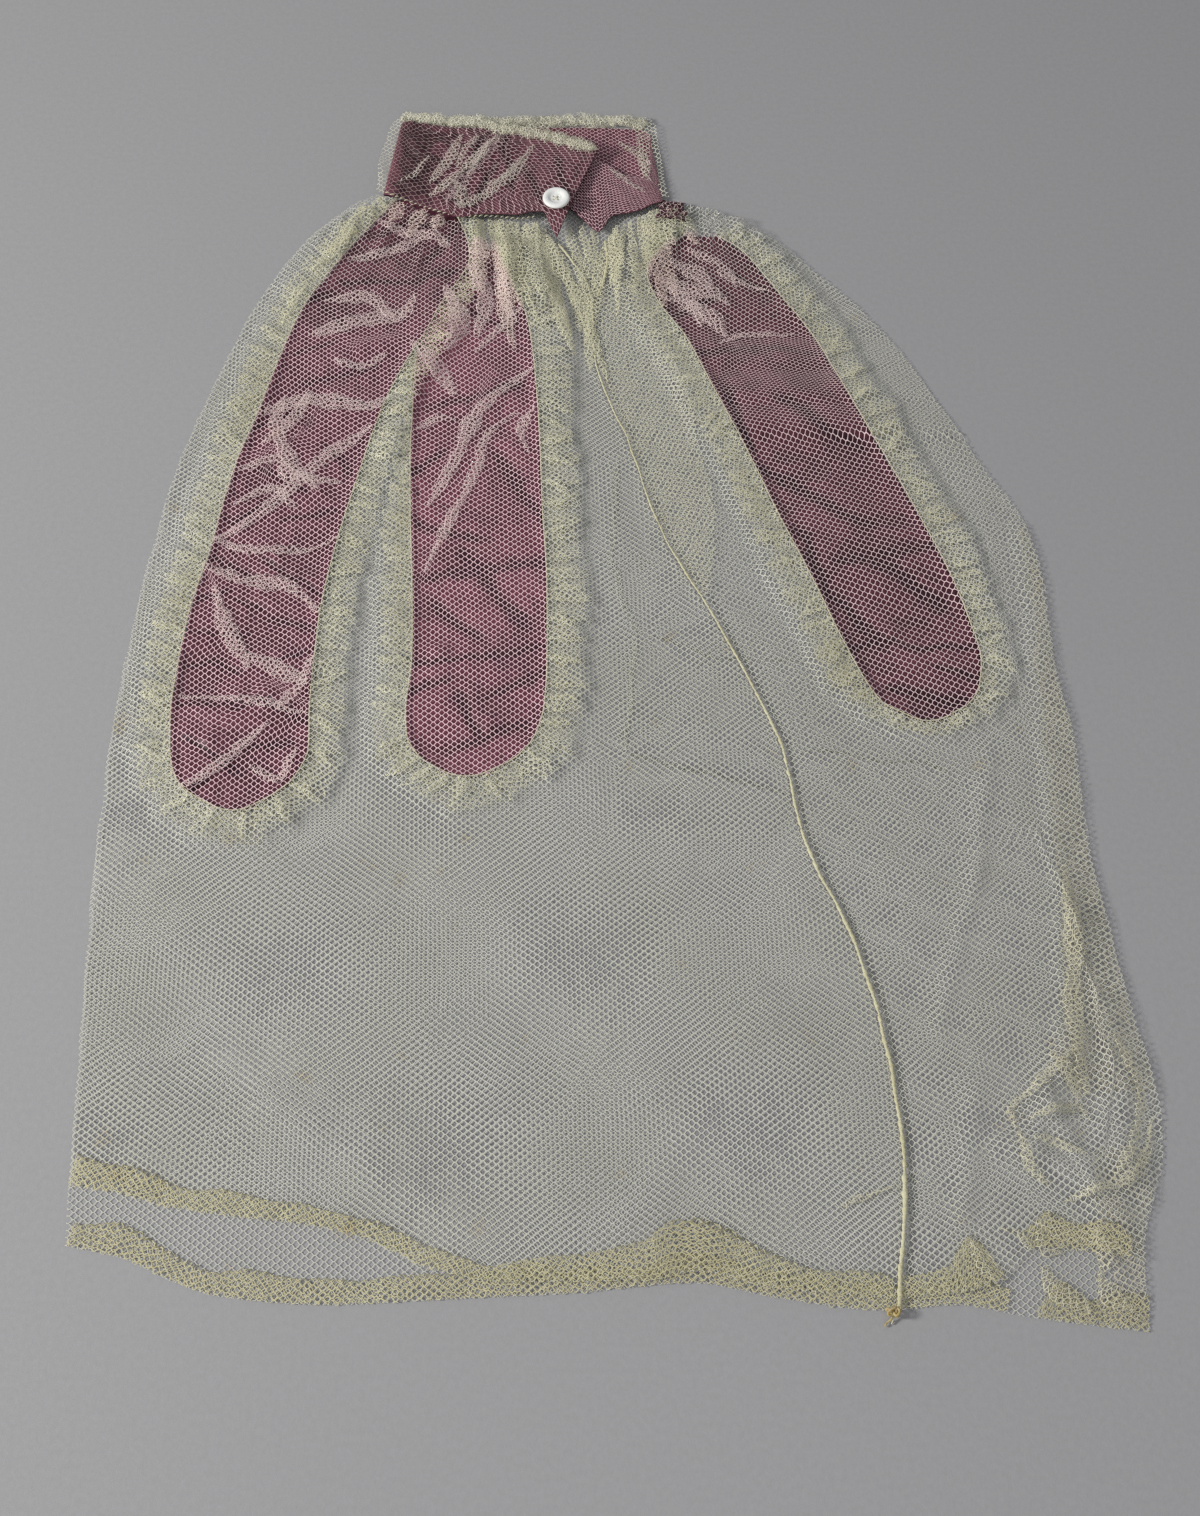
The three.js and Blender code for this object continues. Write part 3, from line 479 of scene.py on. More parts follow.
def net_material(name, colour=(0.70, 0.67, 0.46), dark=(0.52, 0.47, 0.28), thread=THREAD, a=NET_A, b=NET_B, wobble=0.2,
                 haze=0.0, stain=0.5, hem=0.0):
    """Open cotton net: six-sided holes in level rows half a hole apart, uneven threads, and nothing between them."""
    N = Nodes(name)
    uv, place = N.uv(), N.place()
    # the mesh wanders a little, as hand-finished net does
    n1 = N.noise(uv, 0.09, 1.0, colour=True)
    n2 = N.noise(uv, 0.32, 1.0, colour=True)
    off = N.vec("ADD", N.vec("SCALE", N.vec("SUBTRACT", n1, (0.5, 0.5, 0.5)), scale=wobble * 5.0),
                N.vec("SCALE", N.vec("SUBTRACT", n2, (0.5, 0.5, 0.5)), scale=wobble * 1.5))
    x, y, _ = N.split(N.vec("ADD", uv, off))
    sx, sy = N.math("DIVIDE", x, a), N.math("DIVIDE", y, b)
    half = math.hypot(a / 2, b / 2)

    def cell(shift):
        fx = N.math("MULTIPLY", N.math("ABSOLUTE", N.math("SUBTRACT", N.math("FRACT", N.math("ADD", sx, shift)), 0.5)), a)
        fy = N.math("MULTIPLY", N.math("ABSOLUTE", N.math("SUBTRACT", N.math("FRACT", N.math("ADD", sy, shift)), 0.5)), b)
        slant = N.math("SUBTRACT", half / 2, N.math("ADD", N.math("MULTIPLY", fx, a / 2 / half), N.math("MULTIPLY", fy, b / 2 / half)))
        return N.math("MINIMUM", N.math("SUBTRACT", b * 0.485, fy), slant)

    d = N.math("MAXIMUM", cell(0.5), cell(0.0))
    w = N.noise(uv, 0.55, 2.0)
    r = N.remap(w, 0.3, 0.7, thread * 0.36, thread * 0.64)
    deep = N.attr("deep")  # 1 between the gathers, where the net opens out, and below 0 on them, where it lies close; above 0 it thins the threads and paints shade into them
    r = N.math("MULTIPLY", r, N.math("SUBTRACT", 1.0, N.math("MULTIPLY", deep, 0.42)))
    solid = N.remap(N.math("SUBTRACT", d, r), -0.05, 0.06, 1.0, haze, "SMOOTHSTEP")
    # colour: cream, yellower and browner in patches, paler where rubbed
    big = N.noise(place, 14.0, 3.0, 0.6)
    spots = N.noise(place, 55.0, 2.0, 0.5)
    c = N.mix(N.remap(big, 0.35, 0.7, 0.0, 0.75), colour, dark)
    c = N.mix(N.remap(spots, 0.66, 0.78, 0.0, stain, "SMOOTHSTEP"), c, (0.50, 0.37, 0.13))
    c = N.mix(N.remap(N.noise(uv, 1.6, 1.0), 0.3, 0.75, 0.0, 0.35), c, (0.74, 0.73, 0.63))
    if hem:
        c = N.mix(hem, c, (0.56, 0.51, 0.25))
    # painted shade: threads darkened where deep is above 0
    c = N.mix(N.math("MULTIPLY", N.math("MAXIMUM", deep, 0.0), 0.65), c, tuple(k * 0.52 for k in dark))
    c = N.mix(N.attr("silk_bounce"), c, (0.98, 0.67, 0.71))  # painted pink light, reflected from the silk onto the threads over it
    N.put(N.bsdf.inputs["Base Color"], c)
    N.bsdf.inputs["Roughness"].default_value = 0.9
    N.bsdf.inputs["Specular IOR Level"].default_value = 0.15
    N.put(N.bsdf.inputs["Alpha"], solid)
    return N.mat


def thread_material(name, colour=(0.66, 0.64, 0.46), dark=(0.5, 0.45, 0.27)):
    """Spun cotton: fine slanting plies, and soil in patches."""
    N = Nodes(name)
    place = N.place()
    big = N.noise(place, 60.0, 2.0)
    fine = N.noise(place, 900.0, 2.0)
    c = N.mix(N.remap(big, 0.35, 0.7, 0.0, 0.8), colour, dark)
    c = N.mix(N.remap(fine, 0.35, 0.7, 0.0, 0.4), c, (0.74, 0.72, 0.56))
    N.put(N.bsdf.inputs["Base Color"], c)
    N.put(N.bsdf.inputs["Normal"], N.bump(N.noise(place, 1500.0, 1.0), 0.5, 0.0003))
    N.put(N.bsdf.inputs["Roughness"], N.remap(fine, 0.3, 0.7, 0.75, 0.95))
    N.bsdf.inputs["Specular IOR Level"].default_value = 0.2
    return N.mat


def silk_material(name, base=(0.140, 0.038, 0.062), light=(0.225, 0.070, 0.103), dark=(0.012, 0.003, 0.006)):
    """Plain-woven mauve silk: a fine weave, a soft sheen, and painted shade in its creases."""
    N = Nodes(name)
    uv, place = N.uv(), N.place()
    big = N.noise(place, 24.0, 3.0, 0.55)
    mid = N.noise(place, 95.0, 2.0, 0.5)
    c = N.mix(N.remap(big, 0.36, 0.68, 0.0, 1.0, "SMOOTHSTEP"), base, light)
    c = N.mix(N.remap(mid, 0.42, 0.72, 0.0, 0.45), c, tuple(0.6 * a_ + 0.4 * b_ for a_, b_ in zip(base, light)))
    c = N.mix(N.remap(N.noise(place, 40.0, 2.0), 0.60, 0.74, 0.0, 0.4), c, (light[0] * 1.1, light[1] * 1.3, light[2] * 0.85))
    # painted shade in the creases: darkened towards dark where fold is high
    c = N.mix(N.math("MULTIPLY", N.attr("fold"), 0.92, clamp=True), c, dark)
    x, y, _ = N.split(uv)
    k = 2 * math.pi / 0.42
    weave = N.math("MULTIPLY", N.math("SINE", N.math("MULTIPLY", x, k)), N.math("SINE", N.math("MULTIPLY", y, k)))
    slub = N.noise(N.vec("MULTIPLY", uv, (0.25, 3.0, 1.0)), 1.0, 2.0)
    c = N.mix(N.remap(slub, 0.3, 0.7, 0.0, 0.25), c, light)
    N.put(N.bsdf.inputs["Base Color"], c)
    height = N.math("ADD", N.math("MULTIPLY", weave, 0.35), N.math("MULTIPLY", slub, 0.8))
    N.put(N.bsdf.inputs["Normal"], N.bump(height, 0.35, 0.00012))
    N.put(N.bsdf.inputs["Roughness"], N.remap(mid, 0.3, 0.7, 0.42, 0.62))
    N.bsdf.inputs["Specular IOR Level"].default_value = 0.35
    N.bsdf.inputs["Sheen Weight"].default_value = 0.12
    N.bsdf.inputs["Sheen Roughness"].default_value = 0.4
    N.bsdf.inputs["Sheen Tint"].default_value = (0.9, 0.62, 0.68, 1)
    return N.mat


def china_material():
    N = Nodes("china")
    place = N.place()
    c = N.mix(N.remap(N.noise(place, 260.0, 3.0), 0.4, 0.7, 0.0, 0.5), (0.97, 0.97, 0.94), (0.90, 0.89, 0.84))
    c = N.mix(N.remap(N.noise(place, 900.0, 2.0), 0.62, 0.72, 0.0, 0.25), c, (0.55, 0.50, 0.38))
    N.put(N.bsdf.inputs["Base Color"], c)
    N.put(N.bsdf.inputs["Roughness"], N.remap(N.noise(place, 500.0, 2.0), 0.3, 0.7, 0.12, 0.26))
    N.put(N.bsdf.inputs["Normal"], N.bump(N.noise(place, 700.0, 2.0), 0.15, 0.0002))
    N.bsdf.inputs["Coat Weight"].default_value = 0.5
    N.bsdf.inputs["Coat Roughness"].default_value = 0.08
    return N.mat


def floor_material():
    N = Nodes("floor_paper")
    place = N.place()
    c = N.mix(N.noise(place, 3.0, 3.0), (0.375, 0.372, 0.376), (0.40, 0.397, 0.401))
    c = N.mix(N.remap(N.noise(place, 420.0, 3.0), 0.3, 0.7, 0.0, 0.6), c, (0.350, 0.348, 0.352))
    N.put(N.bsdf.inputs["Base Color"], c)
    N.put(N.bsdf.inputs["Normal"], N.bump(N.noise(place, 900.0, 3.0), 0.12, 0.0004))
    N.bsdf.inputs["Roughness"].default_value = 0.92
    N.bsdf.inputs["Specular IOR Level"].default_value = 0.15
    return N.mat


NET = net_material("cotton_net", colour=(0.655, 0.65, 0.575), dark=(0.56, 0.55, 0.44))
NET_BACK = net_material("cotton_net_back", colour=(0.64, 0.635, 0.56), dark=(0.55, 0.54, 0.43), thread=0.27)
NET_FRILL = net_material("cotton_net_frill", colour=(0.86, 0.83, 0.60), dark=(0.70, 0.65, 0.40), thread=0.26, stain=0.3, wobble=0.35)
NET_GATHER = net_material("cotton_net_gathered", colour=(0.78, 0.755, 0.54), dark=(0.64, 0.60, 0.37), thread=0.27, stain=0.35, wobble=0.35)
NET_FOLD = net_material("cotton_net_folded", colour=(0.69, 0.67, 0.56), dark=(0.56, 0.53, 0.41), thread=0.25, wobble=0.3)
# pinker than the other folded nets: painted pink light from the collar's silk below
NET_FOLD_COLLAR = net_material("cotton_net_folded_collar", colour=(0.71, 0.62, 0.54), dark=(0.57, 0.47, 0.41), thread=0.25, wobble=0.3)
NET_FOLD_LOW = net_material("cotton_net_folded_low", colour=(0.68, 0.65, 0.47), dark=(0.55, 0.51, 0.34), thread=0.27, wobble=0.3)
# pink-brown threads: painted pink light from the silk below
NET_COLLAR = net_material("cotton_net_collar", colour=(0.58, 0.47, 0.41), dark=(0.46, 0.36, 0.30), thread=0.20, a=3.5, b=2.8, wobble=0.25)
NET_RUCHE = net_material("cotton_net_ruche", colour=(0.82, 0.80, 0.64), dark=(0.66, 0.63, 0.45), thread=0.25, a=3.2, b=2.6, wobble=0.6)
NET_HEM = net_material("cotton_net_hem", colour=(0.66, 0.62, 0.39), dark=(0.54, 0.48, 0.27), thread=0.29, hem=0.3)
NET_BAND = net_material("cotton_net_soiled", colour=(0.60, 0.56, 0.42), dark=(0.48, 0.42, 0.28), thread=0.29)
ROLLED = thread_material("rolled_net", (0.64, 0.61, 0.40), (0.48, 0.44, 0.24))
COTTON = thread_material("cotton_thread")
STAINED = thread_material("stained_thread", (0.56, 0.44, 0.15), (0.36, 0.22, 0.06))
SILK = silk_material("mauve_silk")
# darker copies of the same silk for the right tab, the collar and the left tab: painted shade
SILK_SHADED = silk_material("mauve_silk_shaded", base=(0.082, 0.020, 0.033), light=(0.140, 0.041, 0.062), dark=(0.008, 0.002, 0.004))
SILK_COLLAR = silk_material("mauve_silk_collar", base=(0.118, 0.032, 0.051), light=(0.205, 0.064, 0.091), dark=(0.009, 0.002, 0.004))
SILK_LEFT = silk_material("mauve_silk_left", base=(0.105, 0.027, 0.046), light=(0.172, 0.053, 0.079))
CHINA = china_material()

pieces = {}


def piece(o, slot, *nodes):
    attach(o, "root")
    if nodes:
        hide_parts(*nodes)
    pieces[o.name] = o
    return o


def surface_area(P):
    a = P[1:, :-1] - P[:-1, :-1]
    b = P[:-1, 1:] - P[:-1, :-1]
    c = P[1:, 1:] - P[1:, :-1]
    d = P[1:, 1:] - P[:-1, 1:]
    return float((np.linalg.norm(np.cross(a, b), axis=-1).sum() + np.linalg.norm(np.cross(c, d), axis=-1).sum()) / 2)


# ======================================================================== plan of the panels
side_l, side_r = Line(SIDES, 1), Line(SIDES, 2)
open_l, open_r = Line(OPENING, 1), Line(OPENING, 2)


def patch(left, right, top, bottom, u, v):
    """A patch between four edges; u runs across and v down."""
    L, R, T, B = left(v), right(v), top(u), bottom(u)
    c00, c10, c01, c11 = left(np.array([0.0]))[0], right(np.array([0.0]))[0], left(np.array([1.0]))[0], right(np.array([1.0]))[0]
    U, V = u[None, :, None], v[:, None, None]
    return ((1 - V) * T[None] + V * B[None] + (1 - U) * L[:, None] + U * R[:, None]
            - ((1 - U) * (1 - V) * c00 + U * (1 - V) * c10 + (1 - U) * V * c01 + U * V * c11))


def side_edge(line, y0, y1, dx=0.0):
    def f(v):
        y = y0 + (y1 - y0) * v
        return np.stack([line(y) + dx, y], -1)
    return f


def cross_edge(rows, a, b):
    line = Line(rows, 1)

    def f(u):
        x = a[0] + (b[0] - a[0]) * u
        return np.stack([x, line(x) + (1 - u) ** 8 * (a[1] - float(line(a[0]))) + u ** 8 * (b[1] - float(line(b[0])))], -1)
    return f


def panel_plan(left, right, top_rows, bottom_rows, cols, rows, v_power=1.0):
    u = np.linspace(0, 1, cols)
    v = np.linspace(0, 1, rows) ** v_power
    one = np.array([0.0]), np.array([1.0])
    top = cross_edge(top_rows, left(one[0])[0], right(one[0])[0])
    bottom = cross_edge(bottom_rows, left(one[1])[0], right(one[1])[0])
    return patch(left, right, top, bottom, u, v), u, v


def gathers(S, K, u, v, y, seed, pleat_cloth, y_top, y_end):
    """Gathers at a neck seam, laid over each other: sideways shift and rise for cloth coordinate S where the cloth is
    K times as wide as its place. Each gather runs down its own length."""
    rng = np.random.default_rng(seed)
    s0, s1 = float(S.min()), float(S.max())
    edges = [s0]
    while edges[-1] < s1:
        edges.append(edges[-1] + pleat_cloth * rng.uniform(0.7, 1.35))
    edges = np.array(edges)
    i = np.clip(np.searchsorted(edges, S, side="right") - 1, 0, len(edges) - 2)
    lam = edges[i + 1] - edges[i]
    p = (S - edges[i]) / lam
    reach = rng.uniform(0.5, 1.0, len(edges))
    ends = y_top - (y_top - y_end) * reach
    fade = smooth((y - ends[i]) / (y_top - ends[i] + 1e-6) * 1.25)
    comp = np.clip(1 - 1 / np.maximum(K, 1.0), 0, 0.75)
    share = (1 + 1 / np.maximum(K, 1.0)) / 2
    # a slanting zigzag: forward for `share` of the cloth, back for the rest
    rise_part = np.where(p < share, (p / share) * share * comp, 0)
    back_part = np.where(p >= share, share * comp - (p - share) * (1 + 1 / np.maximum(K, 1.0)), 0)
    shift = (rise_part + back_part) - share * comp * 0.5
    z = 0.5 - 0.5 * np.cos(2 * math.pi * np.clip((p - share * 0.35) / 1.0, -1, 1))
    return shift * lam * fade, z * fade, fade


# ======================================================================== back panel
backL, backR = side_edge(side_l, 249, -274), side_edge(side_r, 246, -306)
P0, bu, bv = panel_plan(backL, backR, NECK_BACK, HEM_BACK, 190, 230)
x, y = P0[..., 0], P0[..., 1]
K = 1 + 0.15 * smooth((y - 185) / 62)
xe = -44 + (x + 44) * K
th = math.radians(1.2)
S, T = xe * math.cos(th) + y * math.sin(th), -(xe * math.sin(th)) + y * math.cos(th)
edge = smooth(np.minimum(bu, 1 - bu) * 12)[None, :] * smooth(np.minimum(bv + 0.02, 1 - bv) * 14)[:, None]
dx, dz, _ = gathers(xe, K, bu, bv, y, 5, 10.0, 250.0, 180.0)
fx, fy, fz = fold_over(x, y, FOLDS_BACK, edge)
X, Y = x + dx * edge + fx, y + fy
Z = BACK_Z + 0.22 * (waves(x, y, 11, 30, 90) + 1) * 0.5 + 0.6 * dz * smooth((y - 170) / 60) + 0.35 * fz
wob = waves(x, y, 12, 18, 60) * 0.5
X = X + wob * (1 - edge) * 0.8
back_P = np.stack([X, Y, Z], -1)
net_back = sheet_mesh("net_back", back_P, np.stack([S, T], -1), NET_BACK)
ground.add(back_P)
back_area = surface_area(back_P) * 1e-6


# ======================================================================== silk tabs and frills
def tab_sides(rows):
    return Line(rows, 1), Line(rows, 2)


def tab_boundary(rows, step):
    """The tab's outline from its left top, round its lower end, to its right top, with a rounded end, in even steps."""
    l, r = tab_sides(rows)
    y_top, y_low = rows[0][0], rows[-1][0]
    ys = np.linspace(y_top, y_low, 400)
    left, right = np.stack([l(ys), ys], -1), np.stack([r(ys), ys], -1)[::-1]
    a, b = left[-1], right[0]
    t = np.linspace(0, 1, 30)[1:-1, None]
    sag = np.array([0, -3.2]) * np.sin(math.pi * t) ** 0.8
    pts = np.concatenate([left, a + (b - a) * t + sag, right])
    for _ in range(6):  # rounds the corners a little
        q = pts.copy()
        q[1:-1] = (pts[:-2] + 2 * pts[1:-1] + pts[2:]) / 4
        pts = q
    seg = np.concatenate([[0], np.cumsum(np.linalg.norm(np.diff(pts, axis=0), axis=1))])
    n = int(seg[-1] / step)
    s = np.linspace(0, seg[-1], n)
    return np.stack([np.interp(s, seg, pts[:, 0]), np.interp(s, seg, pts[:, 1])], -1), s


def silk_tab(name, node, rows, creases, seed, rough, at, mat):
    edge_pts, s = tab_boundary(rows, 1.0)
    n = len(edge_pts)
    low = int(np.argmin(edge_pts[:, 1]))
    # the sides end part way round the lower end, so that no corner is pinched
    c = int(min(low, n - 1 - low) * 0.0) + 14
    left = edge_pts[: low - c + 1]
    right = edge_pts[low + c:][::-1]
    bottom = edge_pts[low - c: low + c + 1]
    rows_n = 270
    cols_n = 56

    def along(pts):
        seg = np.concatenate([[0], np.cumsum(np.linalg.norm(np.diff(pts, axis=0), axis=1))])
        seg /= seg[-1]
        return lambda t: np.stack([np.interp(t, seg, pts[:, 0]), np.interp(t, seg, pts[:, 1])], -1)

    L, R, B = along(left), along(right), along(bottom)
    a, b = left[0], right[0]
    Tt = lambda t: a + (b - a) * t[:, None]  # noqa: E731
    P = patch(L, R, Tt, B, np.linspace(0, 1, cols_n), np.linspace(0, 1, rows_n))
    x, y = P[..., 0], P[..., 1]
    z, fold = crease_height(x, y, creases)
    crumple = waves(x, y, seed, 9, 30, 18, ridged=True) * 0.26 * rough + waves(x, y, seed + 1, 22, 60, 10) * 0.35 * rough
    # painted shade in the troughs of the crumples, on top of the shade in the creases
    fold = np.clip(fold + smooth((-crumple / (0.3 * rough) - 0.75) / 1.2) * 0.5, 0, 1)
    low_by = ground.reader(2, 4)(x, y)
    level = np.maximum(at, low_by + 0.35)
    z = level + z * 1.15 + crumple
    uu = np.linspace(0, 1, cols_n)
    vv = np.linspace(0, 1, rows_n)
    rim = smooth(np.minimum(uu, 1 - uu) * 9)[None, :] * smooth((1 - vv) * 30)[:, None]
    z = np.maximum(z * rim + (1 - rim) * (level + crumple * 0.4), low_by + 0.2)
    Q = np.stack([x + waves(x, y, seed + 2, 20, 50) * 0.3, y, z], -1)
    o = sheet_mesh(name, Q, np.stack([x, y], -1), mat, {"fold": fold})
    m = o.modifiers.new("cloth", "SOLIDIFY")
    m.thickness, m.offset = 0.00028, 0
    piece(o, "silk", node)
    ground.add(Q, 0.2)
    return o, Q, edge_pts, s


def over_silk_share(x, y):
    """1 where a silk tab lies below the point, falling to 0 just past its edges."""
    t = np.zeros(np.shape(x))
    for rows in (TAB_LEFT, TAB_MIDDLE, TAB_RIGHT):
        l, r = tab_sides(rows)
        t = np.maximum(t, smooth((x - l(y)) / 1.6 + 0.5) * smooth((r(y) - x) / 1.6 + 0.5) * smooth((y - rows[-1][0] + 3.5) / 2.0) * smooth((rows[0][0] + 3 - y) / 3))
    return t


def fold_strip(pts, width, seed, at, high=0.8, turn=None):
    """A narrow fold of net lying flat: across and back over itself, running out at both ends."""
    rng = np.random.default_rng(seed)
    pts = np.asarray(pts, float)
    k = np.arange(len(pts))
    q = np.linspace(0, len(pts) - 1, 60)
    c = np.stack([Line(list(zip(k, pts[:, 0])), 1)(q), Line(list(zip(k, pts[:, 1])), 1)(q)], -1)
    seg = np.concatenate([[0], np.cumsum(np.linalg.norm(np.diff(c, axis=0), axis=1))])
    L = seg[-1]
    n = max(10, int(L / 1.4))
    s = np.linspace(0, L, n)
    c = np.stack([np.interp(s, seg, c[:, 0]), np.interp(s, seg, c[:, 1])], -1)
    t = np.gradient(c, axis=0)
    t /= np.linalg.norm(t, axis=1)[:, None]
    side = -1.0 if rng.random() < 0.5 else 1.0
    nrm = np.stack([-t[:, 1], t[:, 0]], -1) * side
    w = width * (0.10 + 0.9 * np.sin(math.pi * np.clip(s / L, 0.02, 0.98)) ** 0.55) * (1 + 0.22 * waves(s, s * 0, seed + 1, 9, 34, 8))
    prof = np.array([-0.5, -0.17, 0.17, 0.5, 0.52, 0.22, -0.12, -0.44])
    lift = np.array([0.0, 0.25, 0.35, 0.45, 0.55, 0.8, 0.95, 0.75]) * high
    width = 1.6 * width
    d = prof[None, :] * w[:, None] + 0.45 * waves(s[:, None], np.arange(8)[None, :] * 1.5, seed + 2, 5, 16, 8)
    X, Y = c[:, 0:1] + nrm[:, 0:1] * d, c[:, 1:2] + nrm[:, 1:2] * d
    Z = at(X, Y) + 0.15 + lift[None, :] * smooth(w / 2.5)[:, None]
    clen = np.concatenate([[0], np.cumsum(np.abs(np.diff(prof)))])
    s_, c_ = s[:, None] + 0 * clen[None, :], clen[None, :] * w[:, None] * side
    r = math.atan2(t[n // 2, 1], t[n // 2, 0]) + (rng.uniform(-0.5, 0.5) if turn is None else turn)
    UV = np.stack([s_ * math.cos(r) - c_ * math.sin(r) + pts[0, 0], s_ * math.sin(r) + c_ * math.cos(r) + pts[0, 1]], -1)
    return np.stack([X, Y, Z], -1), UV, L


def fold_piece(name, rows, seed, mat, at, slot="net_doubled", high=0.8, silk_bounce=0.5, deep=0.0, lay=False):
    """All of a place's folds as one mesh."""
    V, F, U, T, area, length, k = [], [], [], [], 0.0, 0.0, 0
    for i, (pts, width) in enumerate(rows):
        Q, UV, L = fold_strip(pts, width, seed + 11 * i, at, high)
        if lay:
            ground.add(Q)
        f = grid_faces(*Q.shape[:2])
        F.append(f + k)
        k += Q.shape[0] * Q.shape[1]
        V.append(Q.reshape(-1, 3))
        U.append(UV.reshape(-1, 2)[f.ravel()])
        # painted pink light from the silk, where the fold lies over a tab
        T.append(silk_bounce * over_silk_share(Q[..., 0], Q[..., 1]).ravel())
        area += surface_area(Q)
        length += L
    o = make_mesh(name, to_metres(np.concatenate(V)), np.concatenate(F), [mat])
    o.data.uv_layers.new(name="cloth").data.foreach_set("uv", np.concatenate(U).astype(np.float32).ravel())
    o.data.attributes.new("silk_bounce", "FLOAT", "POINT").data.foreach_set("value", np.concatenate(T).astype(np.float32))
    o.data.attributes.new("deep", "FLOAT", "POINT").data.foreach_set("value", np.full(len(np.concatenate(T)), deep, np.float32))
    piece(o, slot)
    return o, area, length


def frill_folds(name, pts, s, reach, seed, at):
    """The frill's tighter gathers: its net lies folded on itself there, from the seam outwards."""
    rng = np.random.default_rng(seed)
    t = np.gradient(pts, axis=0)
    ker = np.ones(19) / 19
    t = np.stack([np.convolve(np.pad(t[:, i], 9, mode="edge"), ker, "valid") for i in (0, 1)], -1)
    t /= np.linalg.norm(t, axis=1)[:, None]
    rows = []
    q = rng.uniform(4, 10)
    while q < s[-1] - 4:
        i = int(np.searchsorted(s, q))
        if reach[i] > 5:
            p, a, o = pts[i], t[i], np.array([t[i, 1], -t[i, 0]])
            L, lean, bend = reach[i] * rng.uniform(0.75, 1.12), rng.uniform(-0.5, 0.5), rng.uniform(-0.3, 0.3)
            rows.append(([tuple(p + o * 0.3), tuple(p + o * L * 0.4 + a * lean * L * 0.3), tuple(p + o * L * 0.75 + a * (lean * 0.7 + bend) * L),
                          tuple(p + o * L + a * (lean + bend) * L)], rng.uniform(2.2, 4.2)))
        q += rng.uniform(6, 22)
    return fold_piece(name, rows, seed + 1, NET_FRILL, at, "net_frill", high=0.7, silk_bounce=0.0, deep=-0.8, lay=True)


def frill_layer(name, pts, s, reach, seed, high, share, mat, turn=0.0):
    """Net gathered along a line: its gathers lie over one another at the seam and open outwards."""
    rng = np.random.default_rng(seed)
    n = len(pts)
    t = np.gradient(pts, axis=0)
    k = 9
    ker = np.ones(2 * k + 1) / (2 * k + 1)
    ts = np.stack([np.convolve(np.pad(t[:, i], k, mode="edge"), ker, "valid") for i in (0, 1)], -1)
    ts /= np.linalg.norm(ts, axis=1)[:, None]
    nrm = np.stack([ts[:, 1], -ts[:, 0]], -1)  # the line runs anticlockwise, so this points outward
    knots = [0.0]
    while knots[-1] < s[-1]:
        knots.append(knots[-1] + rng.uniform(6.0, 17.0))
    knots = np.array(knots)
    ph = np.interp(s, knots, np.arange(len(knots)))
    lam = np.interp(s, (knots[1:] + knots[:-1]) / 2, np.diff(knots))
    size = np.interp(s, knots, rng.uniform(0.5, 1.25, len(knots)))
    m = 14
    r = np.linspace(0, 1, m)
    open_ = smooth(r * 1.4)[None, :]
    PH = 2 * math.pi * ph[:, None] + 1.1 * r[None, :] * waves(s, s * 0, seed + 3, 14, 45, 8)[:, None]
    shift = (lam * size)[:, None] * 0.42 * np.sin(PH) * (0.45 + 0.55 * open_)
    small = 0.5 * waves(s[:, None] + 0 * r[None, :], 6 * r[None, :] + 0 * s[:, None], seed + 6, 2.4, 5.5, 12) * (1 - r[None, :] * 0.7)
    width = reach[:, None] * share * r[None, :] * (1 + 0.09 * waves(s, s * 0, seed + 5, 10, 34, 8)[:, None] - 0.06 * np.cos(PH) * r[None, :])
    base = 0.4 + width
    X = pts[:, 0:1] + nrm[:, 0:1] * base + ts[:, 0:1] * (shift + small)
    Y = pts[:, 1:2] + nrm[:, 1:2] * base + ts[:, 1:2] * (shift + small)
    rise = high * size[:, None] * (0.5 - 0.5 * np.sin(PH)) * (0.3 + 0.7 * open_) * smooth(reach / 6)[:, None]
    # high between the gathers: there the threads are thinned and painted shade darkens them
    deep = (0.5 + 0.5 * np.sin(PH)) ** 1.5 * 1.7 - 0.7
    return X, Y, rise + 0.12 * np.abs(small), base, deep


